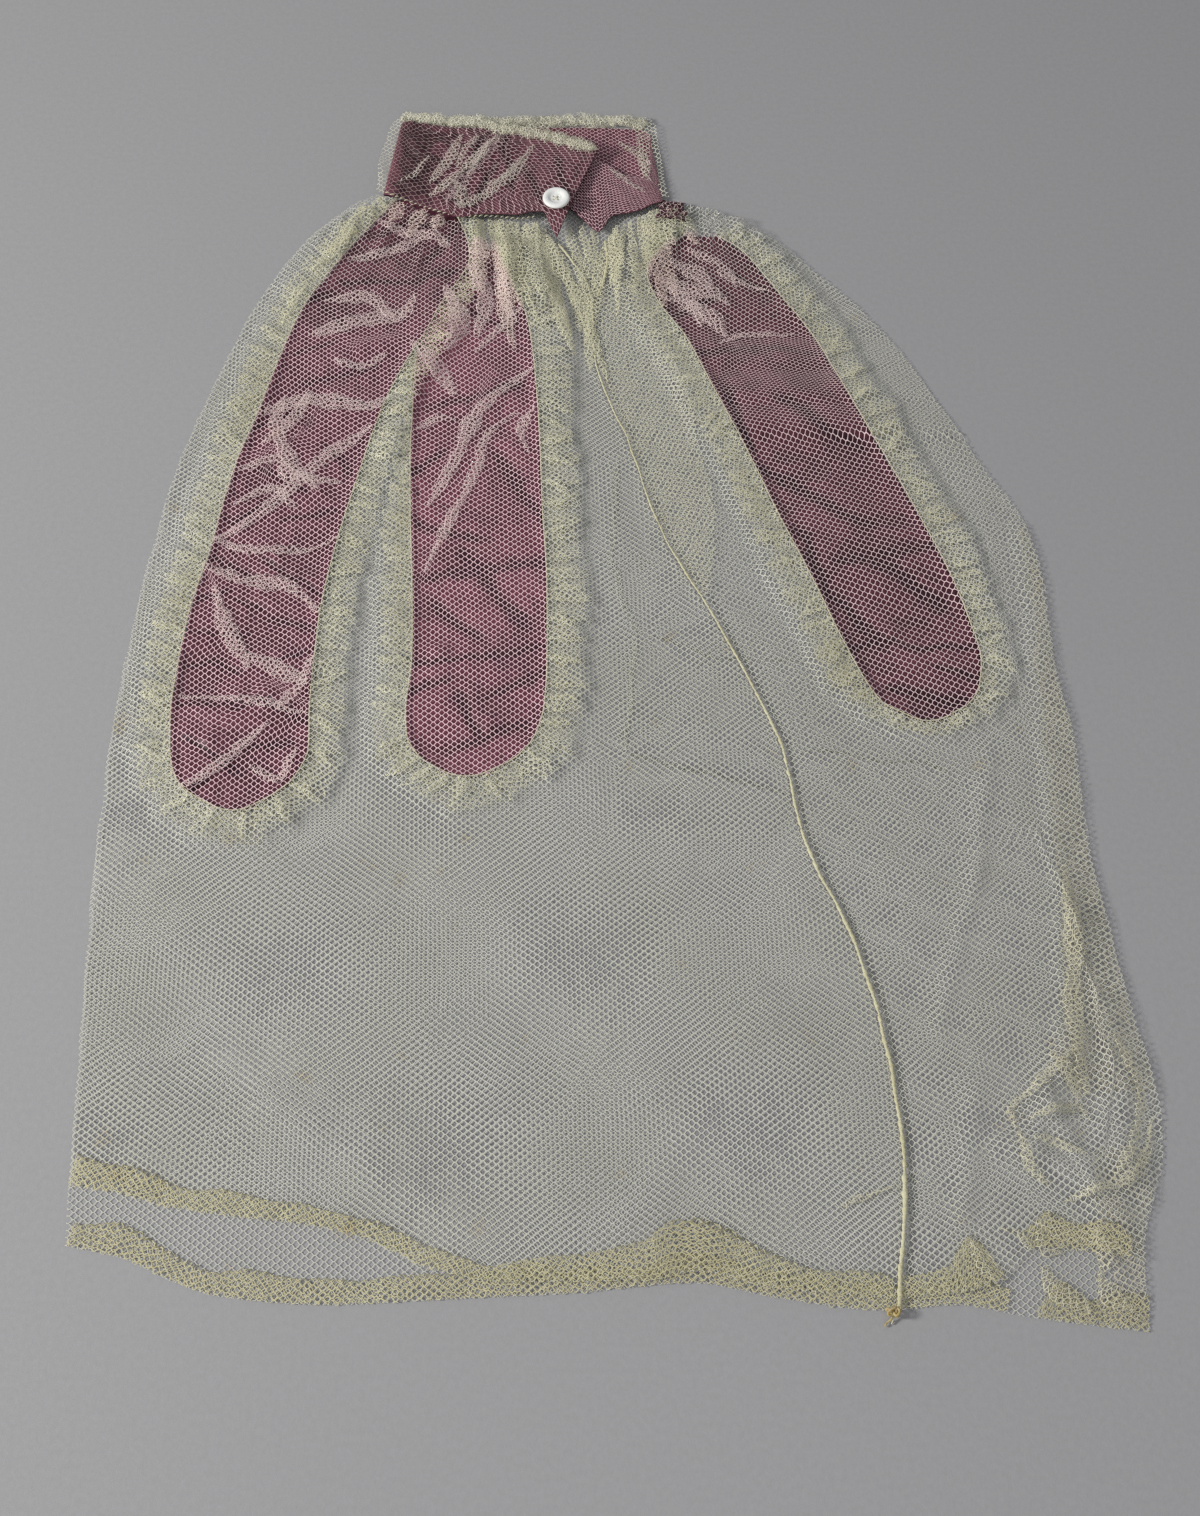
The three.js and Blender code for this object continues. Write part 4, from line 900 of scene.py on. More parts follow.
def frill(name, node, rows, reach_rows, seed, high=1.9):
    """A gathered strip of net, folded double, round a tab's edge."""
    pts, s = tab_boundary(rows, 0.7)
    low = int(np.argmin(pts[:, 1]))
    n = len(pts)
    yl, yr = Line(reach_rows, 1)(pts[:, 1]), Line(reach_rows, 2)(pts[:, 1])
    side = smooth((np.arange(n) - low + 20) / 40.0)
    reach = np.maximum((yl * (1 - side) + yr * side) * FRILL_WIDTH, 1.6)
    below = ground.reader(1, 2)
    made = []
    for j, (share, mat) in enumerate([(0.55, NET_FRILL), (1.0, NET_FRILL)]):
        X, Y, rise, base, deep = frill_layer(name, pts, s, reach, seed + 100 * j, high * (0.7 + 0.3 * j), share, mat)
        Z = below(X, Y) + (0.3 if j == 0 else 0.75) + rise * (0.6 if j == 0 else 1.0)
        Q = np.stack([X, Y, Z], -1)
        mid = Q[:, 8]
        U = np.concatenate([[0], np.cumsum(np.linalg.norm(np.diff(mid, axis=0), axis=1))])
        rot = math.radians(4 + 9 * j)
        UV = np.stack([U[:, None] * math.cos(rot) - base * math.sin(rot), U[:, None] * math.sin(rot) + base * math.cos(rot)], -1)
        o = sheet_mesh(name + ("_under" if j == 0 else ""), Q, UV, mat, {"deep": deep + 0 * X}, flip=False)
        if j == 0:
            piece(o, "net_frill")
        else:
            piece(o, "net_frill", node)
        made.append((o, Q, U[-1]))
    for o, Q, U in made:
        ground.add(Q)
    folds = frill_folds(name + "_folds", pts, s, reach, seed + 300, ground.reader(1, 2))
    # whipped thread along the seam
    t = np.gradient(pts, axis=0)
    t /= np.linalg.norm(t, axis=1)[:, None]
    nrm = np.stack([t[:, 1], -t[:, 0]], -1)
    top = ground.reader(1, 1)(pts[:, 0], pts[:, 1])
    ker = np.ones(15) / 15
    top = np.convolve(np.pad(top, 7, mode="edge"), ker, "valid")
    cord = np.stack([pts[:, 0] + nrm[:, 0] * 0.1, pts[:, 1] + nrm[:, 1] * 0.1, top + 0.1 + 0.12 * np.sin(s * 1.7)], -1)[::2]
    o3 = tube_mesh(name + "_whip", cord, 0.33, COTTON, 6, 0.8, lambda i, w: 1 + 0.22 * np.sin(i * 2.1 + w))
    piece(o3, "thread")
    return made, o3, folds


tabs, frills = {}, {}
for tname, rows, reach, creases, seed, rough, at, mat in [
        ("middle", TAB_MIDDLE, REACH_MIDDLE, CREASES_MIDDLE, 31, 1.0, 1.35, SILK),
        ("left", TAB_LEFT, REACH_LEFT, CREASES_LEFT, 21, 1.9, 1.7, SILK_LEFT),
        ("right", TAB_RIGHT, REACH_RIGHT, CREASES_RIGHT, 41, 1.1, 1.5, SILK_SHADED)]:
    tabs[tname] = silk_tab("silk_tab_" + tname, "tab_" + tname, rows, creases, seed, rough, at, mat)
    frills[tname] = frill("frill_net_" + tname, "frill_" + tname, rows, reach, seed + 30)

# ======================================================================== net folded in at the right side
fold_in = Line(FOLD_IN, 1)
fy_ = np.linspace(52, -214, 190)
fu = np.linspace(0, 1, 22)
a_, b_ = fold_in(fy_), side_r(fy_) - 0.4
a_ = a_ + waves(fy_, fy_ * 0, 81, 16, 60, 8) * 1.4
FX = a_[:, None] + (b_ - a_)[:, None] * fu[None, :]
FY = np.repeat(fy_[:, None], len(fu), 1)
FX = FX + 1.2 * waves(FX, FY, 82, 10, 30) * np.sin(math.pi * fu)[None, :]
FZ = 1.25 + 0.35 * (waves(FX, FY, 83, 9, 28) + 1)
fold_P = np.stack([FX, FY, FZ], -1)
rot = math.radians(-9)
fold_UV = np.stack([-FX * math.cos(rot) - FY * math.sin(rot), -FX * math.sin(rot) + FY * math.cos(rot)], -1)
net_fold = sheet_mesh("net_side_fold", fold_P, fold_UV, NET_BAND)
ground.add(fold_P)

# ======================================================================== the right front's edge, turned in beside the seam
TURN = [(205, 4), (180, 17), (150, 30), (120, 38), (100, 41.5), (81, 45), (56, 48), (34, 45.8), (14, 43.6)]
turn_r = Line(TURN, 1)
ty = np.linspace(205, 14, 150)
tu = np.linspace(0, 1, 26)
below_turn = ground.reader(1, 2)
ta = open_r(ty) + 1.0
tb = turn_r(ty) + 0.9 * waves(ty, ty * 0, 301, 14, 40, 8)
TX = ta[:, None] + (tb - ta)[:, None] * tu[None, :]
TY = np.repeat(ty[:, None], len(tu), 1)
turn_P = np.stack([TX, TY, below_turn(TX, TY) + 0.35 + 0.2 * (waves(TX, TY, 302, 12, 40) + 1)], -1)
rot = math.radians(31)
turn_UV = np.stack([TX * math.cos(rot) + TY * math.sin(rot), -TX * math.sin(rot) + TY * math.cos(rot)], -1)
net_turn = sheet_mesh("net_front_right_turn", turn_P, turn_UV, NET_FRILL)
ground.add(turn_P)

# net folded double at the lower right corner
LOW = [(-236, 184, 204), (-252, 182, 204), (-268, 184, 199), (-285, 186, 197.5), (-302, 186, 196)]
low_a, low_b = Line(LOW, 1), Line(LOW, 2)
ly = np.linspace(-236, -302, 60)
la, lb = low_a(ly) + 0.8 * waves(ly, ly * 0, 311, 10, 30, 8), low_b(ly) - 0.5
lu = np.linspace(0, 1, 14)
LX = la[:, None] + (lb - la)[:, None] * lu[None, :]
LY = np.repeat(ly[:, None], len(lu), 1)
low_P = np.stack([LX, LY, 1.2 + 0.5 * (waves(LX, LY, 312, 7, 22) + 1)], -1)
low_fold = sheet_mesh("net_corner_fold", low_P, np.stack([LX + 0.2 * LY, LY - 0.2 * LX], -1), NET_BAND)
ground.add(low_P)

# ======================================================================== hem of the back
def hem_strip(name, node, lower, inward, depth, u0, u1, n, z_at, seed, mat, slot, turns=1, uv_rot=6.0, depth_line=None):
    """A hem turned twice: the strip goes up from the fold, back down and up again, each turn a little shorter."""
    u = np.linspace(u0, u1, n)
    low = lower(u)
    t = np.gradient(low, axis=0)
    t /= np.linalg.norm(t, axis=1)[:, None]
    nrm = np.stack([-t[:, 1], t[:, 0]], -1) * inward
    seg = np.concatenate([[0], np.cumsum(np.linalg.norm(np.diff(low, axis=0), axis=1))])
    dep = depth * (1 + 0.16 * waves(seg, seg * 0, seed, 14, 60, 8))
    if depth_line is not None:
        dep = dep * depth_line(low[:, 0])
    prof = [0.0, 0.25, 0.5, 0.75, 1.0, 1.02, 0.8, 0.55, 0.3, 0.06, 0.04, 0.25, 0.5, 0.72, 0.9][: 10 if turns == 1 else 15]
    lift = [0.0, 0.1, 0.1, 0.1, 0.2, 0.45, 0.5, 0.5, 0.5, 0.6, 0.85, 0.9, 0.9, 0.9, 0.9][: len(prof)]
    clen = np.concatenate([[0], np.cumsum(np.hypot(np.diff(prof) * depth, np.diff(lift)))])
    d = np.array(prof)[None, :] * dep[:, None] + 0.35 * waves(seg[:, None], clen[None, :], seed + 1, 4, 14, 10)
    X = low[:, 0:1] + nrm[:, 0:1] * d
    Y = low[:, 1:2] + nrm[:, 1:2] * d
    Z = z_at(X, Y) + np.array(lift)[None, :] * 0.8 + 0.25 * (waves(seg[:, None], d, seed + 2, 5, 18, 10) + 0.6)
    Q = np.stack([X, Y, np.maximum(Z, 0.15)], -1)
    r = math.radians(uv_rot)
    s_, c_ = seg[:, None] + clen[None, :] * 0, clen[None, :] * (dep / depth)[:, None]
    UV = np.stack([s_ * math.cos(r) - c_ * math.sin(r), s_ * math.sin(r) + c_ * math.cos(r)], -1)
    o = sheet_mesh(name, Q, UV, mat)
    if node:
        piece(o, slot, node)
    else:
        piece(o, slot)
    ground.add(Q)
    return o, Q, seg[-1], clen[-1]


def lower_edge(rows, a, b, dy=0.0):
    line = Line(rows, 1)
    return lambda u: np.stack([a + (b - a) * u, line(a + (b - a) * u) + dy], -1)


hem_back = hem_strip("net_hem_back", "back_hem", lower_edge(HEM_BACK, -202, 145), 1, 9.5, 0, 1, 380,
                     lambda X, Y: X * 0 + 0.75, 91, NET_HEM, "net_doubled")
hem_back_end = hem_strip("net_hem_back_end", None, lower_edge(HEM_BACK, 156, 196), 1, 11.0, 0, 1, 60,
                         lambda X, Y: X * 0 + 0.75, 95, NET_HEM, "net_doubled",
                         depth_line=Line([(156, 0.35), (165, 1.15), (175, 0.8), (186, 1.35), (197, 1.0)]))

# ======================================================================== fronts
under = ground.reader(2, 3)


def front(name, node, left, right, top_rows, bottom_rows, cols, rows, cloth, pleats, ridges, seed, y_end, edge_sides, pleat_cloth):
    P0, u, v = panel_plan(left, right, top_rows, bottom_rows, cols, rows)
    x, y = P0[..., 0], P0[..., 1]
    S, T, xe, K = cloth(x, y)
    lo = np.minimum(u + (0.0 if edge_sides[0] else 1.0), 1 - u + (0.0 if edge_sides[1] else 1.0))
    edge = smooth(np.minimum(u, 1 - u) * 10)[None, :] * smooth(np.minimum(v + 0.03, 1 - v) * 16)[:, None]
    dx, dz, fade = gathers(xe, K, u, v, y, seed, pleat_cloth, 245.0, y_end)
    fx, fy, fz = fold_over(x, y, pleats, edge)
    soft = smooth(np.minimum(u, 1 - u) * 25)[None, :]
    X = x + dx * soft + fx
    Y = y + fy
    Z = under(X, Y) + 0.45 + 0.28 * (waves(x, y, seed + 7, 22, 70) + 0.8) + ridge_height(x, y, ridges) * edge
    Z += 1.5 * dz * (0.35 + 0.65 * smooth((y - 190) / 45)) * soft + fz
    wob = waves(x, y, seed + 8, 16, 50) * 0.45 * (1 - smooth(np.minimum(u, 1 - u) * 30))[None, :]
    X = X + wob
    Q = np.stack([X, Y, Z], -1)
    # over the silk: painted pink light reflected from the silk below, and painted shade darkening the threads, most
    # near the neck on the left
    o = sheet_mesh(name, Q, np.stack([S, T], -1), NET, {"silk_bounce": over_silk_share(X, Y) * (0.9 - 0.35 * smooth((y - 150) / 50) - 0.2 * smooth((x - 0) / 10)),
                        "deep": over_silk_share(X, Y) * (0.12 + 0.4 * smooth((y - 165) / 45) * smooth((-66 - x) / 15) + 0.1 * smooth(x / 10))})
    piece(o, "net", node)
    ground.add(Q)
    return o, Q, u, v


def cloth_left(x, y):
    K = 1 + 0.22 * smooth((y - 186) / 50)
    xe = -66 + (x + 66) * K
    th = math.radians(2.5)
    return xe * math.cos(th) + y * math.sin(th), -xe * math.sin(th) + y * math.cos(th), xe, K


grain = Line(GRAIN_RIGHT, 1)


def cloth_right(x, y):
    gl = grain(y)
    slope = (grain(y + 2) - grain(y - 2)) / 4
    K = 1 + 0.22 * smooth((y - 180) / 55)
    xe = (x - gl) * K
    th = np.arctan(-slope) * (1 - 0.8 * smooth((y - 130) / 70))
    yy = np.linspace(-330, 260, 600)
    sl = np.arctan(-(grain(yy + 2) - grain(yy - 2)) / 4)
    h = np.concatenate([[0], np.cumsum(np.diff(yy) / np.cos(sl[:-1]))])
    return xe * np.cos(th), -xe * np.sin(th) + np.interp(y, yy, h), xe, K


EDGE_OFF = 1.2
front_l = front("net_front_left", "front_left", side_edge(side_l, 249, -251), side_edge(open_l, 217, -294, -EDGE_OFF), NECK_LEFT, HEM_LEFT,
                260, 245, cloth_left, PLEATS_LEFT, RIDGES_LEFT, 141, 165.0, (True, True), 9.5)
front_r = front("net_front_right", "front_right", side_edge(open_r, 221.5, -294, EDGE_OFF), side_edge(side_r, 243, -280), NECK_RIGHT, HEM_RIGHT,
                170, 250, cloth_right, PLEATS_RIGHT, RIDGES_RIGHT, 151, 160.0, (True, True), 10.0)
piece(net_back, "net", "back_panel")
piece(net_fold, "net", "side_fold_right")
piece(net_turn, "net_doubled")
piece(low_fold, "net_doubled")

over = ground.reader(1, 2)


FOLDS_TAB_LEFT = [
    ([(-141.0, 160.4), (-119.1, 168.9), (-96.8, 173.8), (-91.6, 184.9)], 8.7),
    ([(-134.9, 182.4), (-116.2, 184.9), (-100.4, 170.1)], 6.5),
    ([(-162.4, 113.3), (-138.4, 122.5), (-112.5, 117.9), (-98.1, 122.5)], 8.0),
    ([(-149.6, 124.9), (-152.1, 108.7), (-145.1, 88.3), (-131.3, 70.5)], 7.3),
    ([(-168.0, 81.6), (-150.5, 88.3), (-144.5, 79.3), (-120.9, 74.9)], 6.5),
    ([(-175.2, 42.2), (-160.3, 53.0), (-143.8, 70.5), (-128.9, 88.3), (-108.2, 106.4)], 7.3),
    ([(-178.4, 29.5), (-157.6, 21.1), (-141.8, 19.0), (-125.3, 4.5)], 7.3),
    ([(-177.2, 44.4), (-157.3, 38.0), (-136.2, 38.0), (-119.0, 44.4)], 4.1),
    ([(-173.1, 19.0), (-166.1, -1.7), (-154.0, -23.9)], 8.0),
    ([(-156.3, -15.9), (-142.1, -23.9), (-128.0, -31.8)], 8.7),
    ([(-140.6, -43.6), (-131.4, -31.8), (-127.2, -17.9)], 5.8),
    ([(-178.8, -82.8), (-166.4, -74.3), (-155.8, -62.9), (-143.5, -49.5)], 5.1),
    ([(-150.2, -70.6), (-138.0, -78.1), (-130.8, -62.9)], 4.4),
    ([(-183.2, -37.7), (-152.7, -39.7), (-127.0, -46.5)], 3.5),
    ([(-125.1, 207.4), (-106.2, 212.4), (-91.2, 220.1)], 6.0),
    ([(-158, 96), (-146, 108), (-138, 128)], 6.0), ([(-112, 231), (-98, 224), (-84, 222), (-76, 214)], 6.0),
    ([(-168, 62), (-152, 72), (-140, 60)], 5.0), ([(-104, 150), (-116, 142), (-128, 146)], 6.0)]
FOLDS_TAB_MIDDLE = [
    ([(-34.2, 141.3), (-50.5, 127.2), (-62.9, 108.7), (-69.4, 88.3), (-81.0, 61.7)], 7.3),
    ([(-41.1, 115.6), (-55.4, 101.8), (-60.2, 81.6), (-68.5, 59.5), (-81.3, 25.3)], 4.9),
    ([(-92.2, 155.6), (-80.5, 141.3), (-70.7, 124.9)], 8.0), ([(-62.3, 150.8), (-47.8, 170.1), (-40.4, 177.5)], 4.4),
    ([(-78, 190), (-70, 168), (-76, 150)], 9.0), ([(-66, 204), (-58, 182), (-62, 160)], 8.0), ([(-54, 206), (-50, 186), (-44, 168)], 6.0),
    ([(-34, 118), (-40, 104), (-36, 92)], 4.0), ([(-88, 104), (-78, 112), (-70, 110)], 4.0)]
FOLDS_TAB_RIGHT = [
    ([(24, 196), (36, 190), (50, 186), (58, 178)], 8.5), ([(30, 206), (42, 200), (50, 188)], 8.0), ([(38, 214), (52, 206), (62, 190)], 6.0),
    ([(34, 178), (48, 172), (56, 160)], 7.5), ([(52, 156), (66, 161), (88, 161)], 3.2), ([(28, 190), (40, 180), (44, 166)], 6.5),
    ([(56, 200), (66, 192), (78, 188)], 3.0), ([(22, 186), (36, 181), (48, 176)], 5.0)]
FOLDS_LOW_RIGHT = [
    ([(184.9, -118.0), (184.9, -154.0), (181.9, -176.6), (181.8, -200.9), (183.2, -215.9)], 7.7),
    ([(170.8, -198.7), (177.8, -209.5), (179.8, -219.1)], 5.8),
    ([(181.3, -196.5), (164.4, -211.7), (153.2, -222.3), (155.4, -230.8)], 4.8),
    ([(159.9, -225.5), (169.3, -222.3), (179.7, -220.2), (183.1, -225.5)], 3.4),
    ([(160.2, -232.8), (168.0, -234.9), (180.4, -240.1)], 3.9),
    ([(155.4, -230.8), (159.1, -244.3), (165.3, -251.4)], 4.8),
    ([(169.6, -257.5), (181.9, -253.5), (194.3, -249.4), (203.8, -237.0), (207.0, -224.4)], 4.4),
    ([(195.3, -191.0), (200.9, -204.1), (203.5, -215.9), (200.9, -228.7), (195.3, -241.2), (188.3, -249.4)], 4.4),
    ([(159.0, -264.6), (164.6, -267.6), (178.0, -270.6), (189.1, -275.6)], 7.7),
    ([(159.7, -267.6), (160.8, -275.6), (167.5, -276.6)], 5.8),
    ([(181.3, -267.6), (182.8, -279.5), (179.0, -287.4)], 4.8),
    ([(134.7, -272.6), (136.8, -281.5), (143.1, -287.4)], 5.8),
    ([(144.9, -267.6), (151.6, -269.6), (156.8, -276.6)], 2.9),
    ([(85.5, -259.6), (95.6, -255.5), (108.7, -251.4)], 2.9),
    ([(160.2, -281.5), (162.3, -289.3), (171.3, -295.2), (175.5, -299.0)], 8.7),
    ([(180.1, -286.4), (185.0, -294.2), (191.0, -299.0)], 6.8)]


def neck_folds(seed, seam, count, reach, aim):
    """Gathers below a neck seam: each starts at the seam and runs out at its own length."""
    rng = np.random.default_rng(seed)
    seam = np.array(seam, float)
    seg = np.concatenate([[0], np.cumsum(np.linalg.norm(np.diff(seam, axis=0), axis=1))])
    rows = []
    for i in range(count):
        s = seg[-1] * (i + rng.uniform(0.15, 0.85)) / count
        x, y = np.interp(s, seg, seam[:, 0]), np.interp(s, seg, seam[:, 1])
        L = rng.uniform(*reach)
        ax, ay = aim(x)
        b = rng.uniform(-0.16, 0.16)
        rows.append(([(x, y + 1.0), (x + ax * L * 0.35 + b * L * 0.3, y + ay * L * 0.35), (x + ax * L * 0.7 + b * L * 0.5, y + ay * L * 0.7),
                      (x + ax * L + b * L * 0.4, y + ay * L)], rng.uniform(4.0, 8.0)))
    return rows


FOLDS_NECK = (
    neck_folds(401, [(-64, 233), (-52, 232), (-42, 230), (-33, 230), (-26, 216)], 13, (24, 88), lambda x: (0.10 + 0.20 * (x + 64) / 38, -0.98))
    + neck_folds(402, [(-63, 232), (-44, 230), (-33, 228)], 6, (14, 30), lambda x: (0.05, -1.0))
    + neck_folds(403, [(1, 222), (5, 230), (14, 233), (22, 238)], 8, (22, 70), lambda x: (-0.16 + 0.05 * x / 3, -0.98))
    + neck_folds(404, [(14, 233), (26, 240), (34, 241)], 5, (16, 40), lambda x: (0.60, -0.80))
    + neck_folds(405, [(-112, 246), (-100, 242), (-84, 236), (-70, 231)], 3, (10, 26), lambda x: (-0.35, -0.94))
    + [([(-17, 215), (-14, 203), (-10, 190), (-7, 178)], 5.5), ([(-10, 217), (-9, 206), (-6, 192)], 5.0), ([(-4, 216), (-5, 204), (-6, 188)], 5.0),
       ([(-13, 212), (-11, 198), (-7, 184)], 4.5), ([(-19, 230), (-17, 219), (-13, 206)], 5.0), ([(-13, 231), (-11, 220), (-8, 208)], 4.5),
       ([(-7, 231), (-7, 220), (-6, 207)], 4.5)]
    + [([(-118, 242), (-124, 228), (-134, 212)], 6.0), ([(-122, 226), (-132, 212), (-142, 200)], 5.5), ([(-142, 196), (-150, 180), (-154, 166)], 4.0),
       ([(-66, 238), (-64, 222), (-58, 206)], 6.0), ([(-14, 196), (-10, 180), (-9, 160), (-8, 140)], 5.0), ([(-20, 206), (-15, 186), (-13, 164)], 6.0)])
folds_tl = fold_piece("net_folds_over_left_tab", FOLDS_TAB_LEFT, 501, NET_FOLD, over)
folds_tm = fold_piece("net_folds_over_middle_tab", FOLDS_TAB_MIDDLE, 601, NET_FOLD, over)
folds_tr = fold_piece("net_folds_over_right_tab", FOLDS_TAB_RIGHT, 701, NET_FOLD, over)
folds_lr = fold_piece("net_folds_lower_right", FOLDS_LOW_RIGHT, 801, NET_FOLD_LOW, over, high=1.1)
folds_nk = fold_piece("net_folds_at_neck", FOLDS_NECK, 901, NET_GATHER, over, high=0.9)
hem_l = hem_strip("net_hem_front_left", "front_left_hem", lower_edge(HEM_LEFT, -204, 103.5), 1, 8.5, 0, 1, 330,
                  lambda X, Y: over(X, Y) + 0.25, 161, NET_HEM, "net_doubled",
                  depth_line=Line([(-204, 1.25), (-120, 0.95), (-30, 0.9), (0, 1.6), (25, 2.2), (50, 1.9), (80, 1.1), (104, 1.0)]))
hem_r = hem_strip("net_hem_front_right", "front_right_hem", lower_edge(HEM_RIGHT, 107, 146), 1, 9.0, 0, 1, 60,
                  lambda X, Y: over(X, Y) + 0.25, 171, NET_HEM, "net_doubled",
                  depth_line=Line([(106, 0.9), (125, 1.2), (136, 2.3), (140, 2.6), (147, 1.4)]))
hem_r2 = hem_strip("net_hem_front_right_end", None, lower_edge(HEM_RIGHT, 156, 192), 1, 12.0, 0, 1, 60,
                   lambda X, Y: over(X, Y) + 0.25, 175, NET_HEM, "net_doubled",
                   depth_line=Line([(156, 0.5), (163, 1.25), (173, 0.75), (184, 1.05), (192, 0.6)]))


# ======================================================================== rolled and whipped edges
def rolled_edge(name, node, ys, line, radius, seed, mat=ROLLED):
    """The net's edge rolled between the fingers and whipped over; thicker towards the foot."""
    x = line(ys)
    radius = Line([(-300, 1.35), (-200, 1.1), (-60, 0.85), (60, 0.62), (150, 0.6), (225, 0.8)])(ys) * radius
    path = np.stack([x + 0.25 * waves(ys, ys * 0, seed, 9, 30, 8), ys], -1)
    z = over(path[:, 0], path[:, 1])
    ker = np.ones(9) / 9
    z = np.convolve(np.pad(z, 4, mode="edge"), ker, "valid") + radius * 0.8
    path = np.column_stack([path, z])
    seg = np.concatenate([[0], np.cumsum(np.linalg.norm(np.diff(path, axis=0), axis=1))])
    n = int(seg[-1] / 0.42)
    s = np.linspace(0, seg[-1], n)
    path = np.column_stack([np.interp(s, seg, path[:, k]) for k in range(3)])
    fat = np.interp(s, seg, radius) * (1 + 0.20 * waves(s, s * 0, seed + 1, 6, 26, 10) + 0.22 * waves(s, s * 0, seed + 9, 2.5, 7, 10))
    body = tube_mesh(name, path, fat, mat, 12, 0.85,
                     lambda i, w: 1 + 0.13 * np.cos(w - i * 0.42 / 3.1 * 2 * math.pi) + 0.05 * np.cos(2 * w + i * 0.9))
    # whip stitches: a thread that winds round the roll
    turns = seg[-1] / 3.1
    k = int(turns * 10)
    a = np.linspace(0, turns * 2 * math.pi, k)
    ss = np.linspace(0, seg[-1], k)
    c = np.column_stack([np.interp(ss, s, path[:, j]) for j in range(3)])
    t = np.gradient(c, axis=0)
    t /= np.linalg.norm(t, axis=1)[:, None]
    side = np.cross([0, 0, 1.0], t)
    up = np.cross(t, side)
    rr = np.interp(ss, s, fat) * 1.06
    wind = c + (rr * np.cos(a))[:, None] * side + (rr * 0.85 * np.sin(a))[:, None] * up
    wrap = tube_mesh(name + "_wrap", wind, 0.17, COTTON, 5)
    piece(body, "net_rolled", node)
    piece(wrap, "thread")
    return body, wrap, path


roll = rolled_edge("front_roll", "centre_roll", np.linspace(218.5, -297, 700), open_l, 0.66, 181)
slit = rolled_edge("slit_edge", "slit_roll", np.linspace(221, 186, 60), open_r, 0.8, 191)

# knotted, stained thread at the foot of the roll
kx, ky, kz = 103.2, -299.2, 2.6
t = np.linspace(0, 1, 150)
knot_path = np.stack([kx + 2.0 * np.sin(2 * math.pi * 2.3 * t) * (1 - 0.3 * t) + 0.6 * np.sin(31 * t), ky + 1.6 * np.cos(2 * math.pi * 3.1 * t) * (1 - 0.2 * t),
                      kz + 1.3 * np.sin(2 * math.pi * 1.7 * t + 0.4) + 0.4], -1)
k1 = tube_mesh("k1", knot_path, 0.5, STAINED, 7)
tail = np.stack([kx - 0.6 - 2.2 * t + 0.5 * np.sin(6 * t), ky - 1.0 - 3.6 * t, kz - 0.4 - 1.6 * t + 0.3 * np.sin(9 * t)], -1)
k2 = tube_mesh("k2", tail, 0.34, STAINED, 6)
tail2 = np.stack([kx + 0.5 - 1.2 * t, ky - 1.2 - 2.6 * t, kz - 0.6 - 1.3 * t], -1)
k3 = tube_mesh("k3", tail2, 0.26, COTTON, 6)
knot = join([k1, k2, k3], "thread_knot")
piece(knot, "thread", "hem_knot")

# ======================================================================== collar
# the band from the overlap's end round the left fold, along the back, round the right fold, to the underlap's end
BAND = [  # top x, y; bottom x, y; height of the middle
    (-5.2, 274.6, -24.6, 219.8, 7.4), (-9.5, 276.6, -28.6, 229.0, 7.3), (-17, 278.4, -31.6, 235.8, 7.1), (-28, 282.4, -37.0, 235.6, 7.0),
    (-39.5, 284.8, -43.4, 233.4, 7.0), (-52, 287.6, -52.2, 233.9, 6.8), (-63, 291.6, -61.0, 234.2, 6.6), (-73, 291.8, -71.6, 232.4, 6.4),
    (-83, 293.0, -81.5, 236.2, 6.2), (-93, 296.0, -92.0, 240.6, 5.8), (-99.5, 297.4, -103.0, 246.0, 5.3), (-102.6, 298.2, -108.6, 249.0, 4.4),
    (-103.4, 298.4, -110.2, 250.0, 3.1), (-102.6, 298.0, -108.8, 250.4, 1.8), (-99.5, 297.6, -104.0, 250.6, 1.0), (-90, 297.2, -94, 250.8, 0.8),
    (-60, 297.0, -60, 251.0, 0.8), (-30, 297.6, -30, 250.8, 0.8), (-10, 297.8, -6, 250.0, 0.8), (6, 296.8, 12, 248.8, 0.9),
    (15.5, 296.0, 21, 248.0, 1.1), (19.6, 294.5, 25.4, 247.2, 1.6), (21.4, 290.0, 27.2, 246.6, 2.3), (21.4, 283.0, 27.2, 245.8, 3.0),
    (21.0, 270.0, 26.0, 244.6, 3.6), (18.5, 260.0, 22.4, 243.0, 4.1), (9.5, 261.4, 13.4, 237.8, 4.3), (1.2, 267.6, 2.4, 234.8, 4.4),
    (-4.8, 271.2, -4.4, 224.6, 4.4), (-10, 272.6, -12.4, 233.0, 4.4), (-14, 272.8, -18.4, 239.8, 4.4)]
OUTSIDE_END = 14  # stations up to here have the band's outside up


def band_line(w, col_top, col_bottom, stations):
    B = np.array(BAND)
    return (1 - w) * B[:, col_top] + w * B[:, col_bottom]


def resample_band(n_along, n_down):
    """The band's middle surface, smooth along its length: points (n_along, n_down, 3) and the station of each row."""
    B = np.array(BAND)
    mid = np.column_stack([(B[:, 0] + B[:, 2]) / 2, (B[:, 1] + B[:, 3]) / 2, B[:, 4]])
    seg = np.concatenate([[0], np.cumsum(np.maximum(np.linalg.norm(np.diff(mid, axis=0), axis=1), 0.4))])
    st = np.arange(len(B))
    s = np.linspace(0, seg[-1], n_along)
    k = np.interp(s, seg, st)
    cols = [Line(list(zip(st, B[:, c])), 1)(k) for c in range(5)]
    w = np.linspace(0, 1, n_down)
    X = cols[0][:, None] + w * (cols[2] - cols[0])[:, None]
    Y = cols[1][:, None] + w * (cols[3] - cols[1])[:, None]
    Z = cols[4][:, None] + 0 * w
    return np.stack([X, Y, Z], -1), k, s


